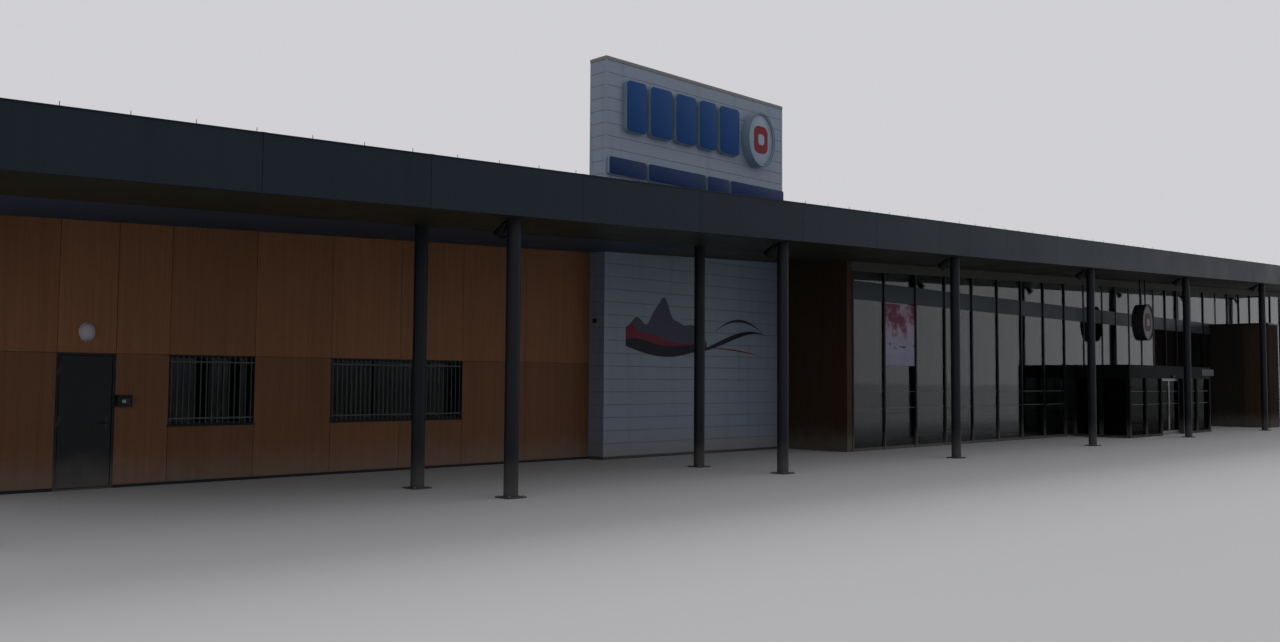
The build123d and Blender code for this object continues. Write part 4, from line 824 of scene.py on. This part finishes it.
# Wood front
def window_details():
    """Dark reveals, a sill drip and a grille of upright bars in front of each window."""
    low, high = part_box("window_frames")
    y0, y1, z0, z1 = WOOD_FACE - 0.003, low.y, low.z, high.z
    thick, drip, end_gap, bar_radius, rail_drop, rail_tall = 0.004, 0.01, 0.006, 0.0042, 0.05, 0.012
    nose = WOOD_FACE - 0.012
    rail_front, bar_line, rail_back = WOOD_FACE + 0.0085, WOOD_FACE + 0.012, WOOD_FACE + 0.0155
    reveals, drips, bars, rails = [], [], [], []
    for a, b, count in WINDOWS:
        reveals += border(a, b, y0, y1, z0, z1, thick)
        drips.append(boxes(a - drip, b + drip, nose, WOOD_FACE + INSET, z0 - drip, z0 + INSET))
        feet = spots(a + (b - a) * (np.arange(count) + 0.5) / count, bar_line, z0 + end_gap)
        shaft = [(0, bar_radius), (z1 - z0 - 2 * end_gap, bar_radius)]
        bars.append(turned(feet, (0, 0, 1), shaft, 10))
        rails.append(boxes(a + thick, b - thick, rail_front, rail_back,
                           [z0 + rail_drop, z1 - rail_drop - rail_tall],
                           [z0 + rail_drop + rail_tall, z1 - rail_drop]))
    piece("window_reveals", reveals + drips, "window_frame")
    piece("window_bars", bars, "bar_steel", smooth=50)
    piece("window_bar_rails", rails, "bar_steel")


def wood_foot():
    """A dark folded drip rail along the foot of the wood, broken at the door."""
    top, fold, nose, fall, back = 0.024, 0.004, WOOD_FACE - 0.006, WOOD_FACE + 0.002, WOOD_FACE + 0.009
    x0, x1 = [WALL_WEST, DOOR_EAST], [DOOR_WEST, WOOD_EDGES[-1]]
    rail = [boxes(x0, x1, fall, back, 0.0, top), boxes(x0, x1, nose, fall, top - fold, top)]
    piece("wood_foot_rail", rail, "coping")
    low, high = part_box("service_door_frame")
    wide, front, back = 0.003, WOOD_FACE - 0.002, low.y + SINK
    trim = boxes([low.x - INSET, high.x - wide], [low.x + wide, high.x + INSET], front, back, 0.0, high.z)
    head = boxes(low.x - INSET, high.x + INSET, front, back, high.z - wide, high.z + INSET)
    piece("door_edge_trim", [trim, head], "window_frame")


def panel_rivets():
    """Rows of small domed rivet heads near the edges of each wood panel."""
    edges = np.array([WALL_WEST] + WOOD_EDGES)
    margin, spacing, near, under_lining = 0.022, 0.3, 0.01, 0.08
    upper_row, middle_row, foot_row, sill_row, joint_row = 1.105, 1.6, 0.05, 0.465, 1.055
    rows = []
    for a, b in zip(edges, edges[1:]):
        x = np.linspace(a + margin, b - margin, max(2, int(round((b - a) / spacing)) + 1))
        glazed = any(w0 <= a + near and b - near <= w1 for w0, w1, _ in WINDOWS)
        heights = [upper_row, middle_row, roof_foot(x) + under_lining]
        if abs(a - DOOR_WEST) >= near:
            heights += [foot_row, sill_row if glazed else joint_row]
        rows += [spots(x, WOOD_FACE, z) for z in heights]
    head = [(-SINK, 0.0032), (0.0004, 0.003), (0.0012, 0.0018), (0.0014, 0.0006)]
    piece("panel_rivets", [turned(np.concatenate(rows), (0, -1, 0), head, 8)], "rivet",
          smooth=60)


def wall_lamp():
    """A flat oval rim and a dome: the share of the oval falls as cos u while t rises as sin u."""
    (x, _, z), a, b = middle_of("bulkhead_lamp")
    u = np.linspace(0, np.pi / 2, 14)[:-1]
    dome = [(0.014 + 0.037 * np.sin(v), 0.9 * np.cos(v)) for v in u]
    rim = [(0.0, 0.96), (0.003, 1.0), (0.010, 1.0), (0.013, 0.96)]
    shape = oval((x, WOOD_FACE, z), a, b, rim + dome + [(0.0513, 0.03)], 64)
    piece("wall_lamp", [shape], "lamp_cover", smooth=35, replaces=["bulkhead_lamp"])
    half, front, back, inner, outer = 0.008, WOOD_FACE - 0.024, WOOD_FACE - 0.01, b * 0.84, b * 0.93
    clips = boxes(x - half, x + half, front, back, [z + inner, z - outer], [z + outer, z - inner])
    piece("wall_lamp_clips", [clips], "lamp_black")


def box_details():
    """A hood, a framed pale plate and a small key grid on the dark wall box."""
    low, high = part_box("keypad_box")
    y, over, lip, lap, edge, rim, proud = low.y, 0.004, 0.008, 0.002, 0.004, 0.006, 0.003
    hood = boxes(low.x - over, high.x + over, y - lip, high.y - INSET, high.z - lap, high.z + over)
    face = border(low.x + edge, high.x - edge, y - proud, y + INSET, low.z + edge, high.z - rim, rim)
    piece("wall_box_hood", [hood] + face, "lamp_black")
    middle = ((low.x + high.x) / 2 - 0.006, y + SINK, (low.z + high.z) / 2 - 0.002)
    plate = plates(round_rectangle(0.03, 0.034, 0.003, 3), middle, 0.004, 0.001)
    piece("wall_box_plate", [plate], "aluminium", smooth=40)
    column, row = (grid.ravel() for grid in np.meshgrid(np.arange(3), np.arange(4)))
    first_x, first_z, step_x, step_z = high.x - 0.044, low.z + 0.022, 0.011, 0.012
    keys = spots(first_x + step_x * column, y + SINK, first_z + step_z * row)
    piece("wall_box_keys", [plates(round_rectangle(0.008, 0.009, 0.002, 2), keys, 0.003, 0.001)],
          "rim_grey", smooth=40)


def door_details():
    """A lock rose with its keyhole slit and a kick plate, all on the moving leaf."""
    low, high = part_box("service_door_leaf")
    x, lock, half_slit, slit_reach = high.x - 0.035, 0.445, 0.0012, 0.005
    rose = turned((x, low.y + SINK, lock), (0, -1, 0), [(0, 0.011), (0.003, 0.011), (0.0045, 0.009)], 24)
    piece("door_lock_rose", [rose], "bronze", body="service_door", smooth=40)
    front, back = low.y - 0.005, low.y - 0.0035
    slit = boxes(x - half_slit, x + half_slit, front, back, lock - slit_reach, lock + slit_reach)
    piece("door_keyhole", [slit], "lamp_black", body="service_door")
    edge, foot, top, proud = 0.012, 0.006, 0.075, 0.0015
    kick = boxes(low.x + edge, high.x - edge, low.y - proud, low.y + SINK, low.z + foot, low.z + top)
    piece("door_kick_plate", [kick], "door_paint", body="service_door")


# Columns and their lamps
def column_details():
    """Anchor bolts with their washers on every column's base plate."""
    standing = [(x, COLUMN_LINE) for x in COLUMNS] + [(x, REAR_COLUMN_LINE) for x in REAR_COLUMNS]
    bolt_offset, plate_top = 0.067, 0.0095
    corner = bolt_offset * np.array([(1, 1), (1, -1), (-1, 1), (-1, -1)])
    x, y = (np.array(standing)[:, None] + corner).reshape(-1, 2).T
    feet = spots(x, y, plate_top)
    washer = [(0, 0.0095), (0.0016, 0.0095)]
    bolt = [(0.001, 0.0065), (0.007, 0.0065), (0.0072, 0.0035), (0.013, 0.0035)]
    piece("base_bolts", [turned(feet, (0, 0, 1), washer, 12), turned(feet, (0, 0, 1), bolt, 6)],
          "steel")


def spotlight_details():
    """A flared cooling collar, a front ring and a pale lens on each tilted column lamp."""
    behind, drop, tilt = 0.090, 0.020, radians(47.0)
    origins = spots(COLUMNS, COLUMN_LINE + behind, roof_foot(COLUMNS) + SOFFIT_RISE * 0.2 - drop)
    axis = (0, np.cos(tilt), -np.sin(tilt))
    neck = [(-0.002, 0.0215), (0.004, 0.0235), (0.024, 0.0275), (0.026, 0.0255), (0.03, 0.0265),
            (0.032, 0.0305), (0.037, 0.0315), (0.039, 0.0285)]
    ring = [(0.112, 0.0455), (0.113, 0.0515), (0.132, 0.054), (0.134, 0.052), (0.133, 0.046)]
    lens = [(0.129, 0.047), (0.1315, 0.045), (0.1335, 0.03), (0.1345, 0.004)]
    piece("spot_rings", [turned(origins, axis, profile, 28) for profile in (neck, ring)],
          "lamp_black", smooth=40)
    piece("spot_lenses", [turned(origins, axis, lens, 28)], "lens", smooth=60)


# Glass hall
def hall_details():
    """Black gaskets beside every bar, pale sight strips across the bays and a poster."""
    half_bar, gap, gasket, proud, top_gap = 0.015, 0.006, 0.004, 0.0012, 0.012
    near_lobby, near_box = 0.03, 0.02
    left = MULLIONS + half_bar
    right = np.append(MULLIONS[1:] - half_bar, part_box("hall_sill")[1].x)
    box_low, box_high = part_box("brown_box")
    beside_lobby = (right < ENTRY_LOW.x + near_lobby) | (left > ENTRY_HIGH.x - near_lobby)
    seen = beside_lobby & ((right < box_low.x + near_box) | (left > box_high.x - near_box))
    piece("glass_strips", sight_strips(left[seen] + gap, right[seen] - gap, HALL_FACE), "film")
    foot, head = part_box("hall_sill")[1].z, above(roof_foot, -top_gap)
    gaskets = [boxes(a, a + gasket, HALL_FACE - proud, HALL_FACE + SKIN, np.full_like(a, foot), head)
               for a in (left[:-1], right[:-1] - gasket)]
    piece("hall_gaskets", gaskets, "rubber")
    margin, front, back, low, high = 0.012, HALL_FACE - 0.003, HALL_FACE - SINK, 1.115, 1.945
    poster = boxes(left[1] + margin, right[1] - margin, front, back, low, high)
    piece("poster", [poster], "poster_print")


# Entrance
def sliding_leaf_details(label, side):
    """A pull bar on two stubs near the leaf's inner edge, and sight strips on its glass."""
    body = "entrance_" + label
    low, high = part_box("entrance_leaf_" + label)
    bar_edge, bar_proud, foot, stub_heights = 0.014, 0.0065, 0.33, np.array([0.36, 0.82])
    x = (high.x if side < 0 else low.x) + side * bar_edge
    rod = [(0, 0.003), (0.002, 0.004), (0.518, 0.004), (0.52, 0.003)]
    bar = [turned((x, low.y - bar_proud, foot), (0, 0, 1), rod, 16),
           turned(spots(x, low.y + INSET, stub_heights), (0, -1, 0), [(0, 0.003), (0.006, 0.003)], 10)]
    piece("pull_bar_" + label, bar, "aluminium", body=body, smooth=40)
    low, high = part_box("entrance_glass_" + label)
    piece("leaf_strips_" + label, sight_strips(low.x + INSET, high.x - INSET, low.y), "film",
          body=body)


def entrance_details():
    """The leaves' details, strips on the fixed lights, a mat, a sensor and the roof's edge."""
    sliding_leaf_details("west", -1)
    sliding_leaf_details("east", 1)
    x0, x1, y0, z1 = ENTRY_LOW.x, ENTRY_HIGH.x, ENTRY_LOW.y, ENTRY_HIGH.z
    middle = (x0 + x1) / 2
    post, half_door, face = 0.06, 0.5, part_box("vestibule_sills")[0].y + 0.025
    for label, start_x, end_x in (("west", x0 + post, middle - half_door - post),
                                  ("east", middle + half_door + post, x1 - post)):
        step = (end_x - start_x + post) / 2
        a = np.array([start_x, start_x + step])
        piece("lobby_strips_" + label, sight_strips(a + INSET, a + step - post - INSET, face), "film")
    floor_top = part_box("floor_slab")[1].z
    half_mat, mat_front, mat_back, mat_thick = 0.6, y0 + 0.18, HALL_FACE - 0.1, 0.004
    mat = boxes(middle - half_mat, middle + half_mat, mat_front, mat_back, floor_top - SINK,
                floor_top + mat_thick)
    piece("entrance_mat", [mat], "rubber")
    band_foot, sensor_lift = z1 - 0.21, 0.035
    sensor = plates(round_rectangle(0.13, 0.034, 0.012, 5), (middle, y0 + SINK, band_foot + sensor_lift),
                    0.026, 0.006)
    piece("door_sensor", [sensor], "lamp_black", smooth=40)
    over, lip, foot, top = 0.005, 0.03, z1 - INSET, z1 + 0.006
    edge = [boxes(x0 - over, x1 + over, y0 - over, y0 + lip, foot, top),
            boxes([x0 - over, x1 - lip], [x0 + lip, x1 + over], y0 + lip, ENTRY_HIGH.y, foot, top)]
    piece("lobby_roof_edge", edge, "lobby_frame")


def brown_box_boards():
    """Cover panels with an open joint on each of the three free sides, and a dark lid edge."""
    low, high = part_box("brown_box")
    thick, gap, lip, joint, rear_gap = 0.006, 0.004, 0.003, -7.198, 0.012
    z0, z1 = 0.02, high.z - 0.03

    def split(*edges):
        """Start and end of the boards between the edges, half an open joint from each."""
        edges = np.array(edges)
        return edges[:-1] + gap / 2, edges[1:] - gap / 2

    x0, x1 = split(low.x, (low.x + high.x) / 2, high.x)
    y0, y1 = split(low.y, joint, high.y - rear_gap)
    # Painted shade: darkest wood on the front, deep shade on the far side boards, lighter shade on the near
    # ones
    piece("box_front_boards", [boxes(x0, x1, low.y - thick, low.y + SINK, z0, z1)], "front_boards_painted_shade")
    for row, name, finish in ((0, "box_near_boards", "wood_painted_shade"), (1, "box_far_boards", "shade_wood")):
        boards = [boxes(low.x - thick, low.x + SINK, y0[row], y1[row], z0, z1),
                  boxes(high.x - SINK, high.x + thick, y0[row], y1[row], z0, z1)]
        piece(name, boards, finish)
    over, lid_back, lid_top = thick + lip, high.y - rear_gap + SINK, high.z + 0.004
    lid = boxes(low.x - over, high.x + over, low.y - over, lid_back, z1, lid_top)
    piece("box_lid_edge", [lid], "coping")


def stage_and_lights():
    """A pale floor, soft even light all round and a broad soft lamp from high behind."""
    size, below = 400.0, 0.001
    mesh = bpy.data.meshes.new("floor")
    mesh.from_pydata([(-size, -size, 0), (size, -size, 0), (size, size, 0), (-size, size, 0)], [],
                     [(0, 1, 2, 3)])
    floor = new_object("floor", mesh)
    start("pale_floor", Roughness=0.9, Base_Color=(0.46, 0.46, 0.46, 1))
    mesh.materials.append(FINISH["pale_floor"])
    floor.location.z = -below
    world = bpy.data.worlds.new("studio")
    bpy.context.scene.world = world
    world.use_nodes = True
    feed(world.node_tree, world.node_tree.nodes["Background"],
         {"Color": (0.88, 0.88, 0.92, 1), "Strength": 0.72})
    lamp = bpy.data.lights.new("soft_key", "SUN")
    lamp.energy, lamp.angle = 1.3, radians(30)
    new_object("soft_key", lamp).rotation_euler = (radians(-38), radians(28), 0)
    bpy.context.scene.view_settings.view_transform = "Standard"


def photo_camera():
    """Turned 45 degrees to the front, pitched up, with the photograph's slight roll."""
    place, heading, pitch, roll = (-16.675, -14.6, 0.89), -45.0, 93.1, 0.38
    data = bpy.data.cameras.new("photo_camera")
    data.sensor_width, data.lens = 36.0, 30.94
    data.clip_start, data.clip_end = 0.05, 1500.0
    camera = new_object("photo_camera", data)
    turn = (Matrix.Rotation(radians(heading), 4, "Z") @ Matrix.Rotation(radians(pitch), 4, "X")
            @ Matrix.Rotation(radians(roll), 4, "Z"))
    camera.matrix_world = Matrix.Translation(place) @ turn
    bpy.context.scene.camera = camera


for make in (tower_siding, corner_trims, tower_flashing, tower_socket, sign_faces, mural, roof_details,
             ribbed_walls, window_details, wood_foot, panel_rivets, wall_lamp, box_details, door_details,
             column_details, spotlight_details, hall_details, entrance_details, brown_box_boards,
             stage_and_lights, photo_camera):
    make()
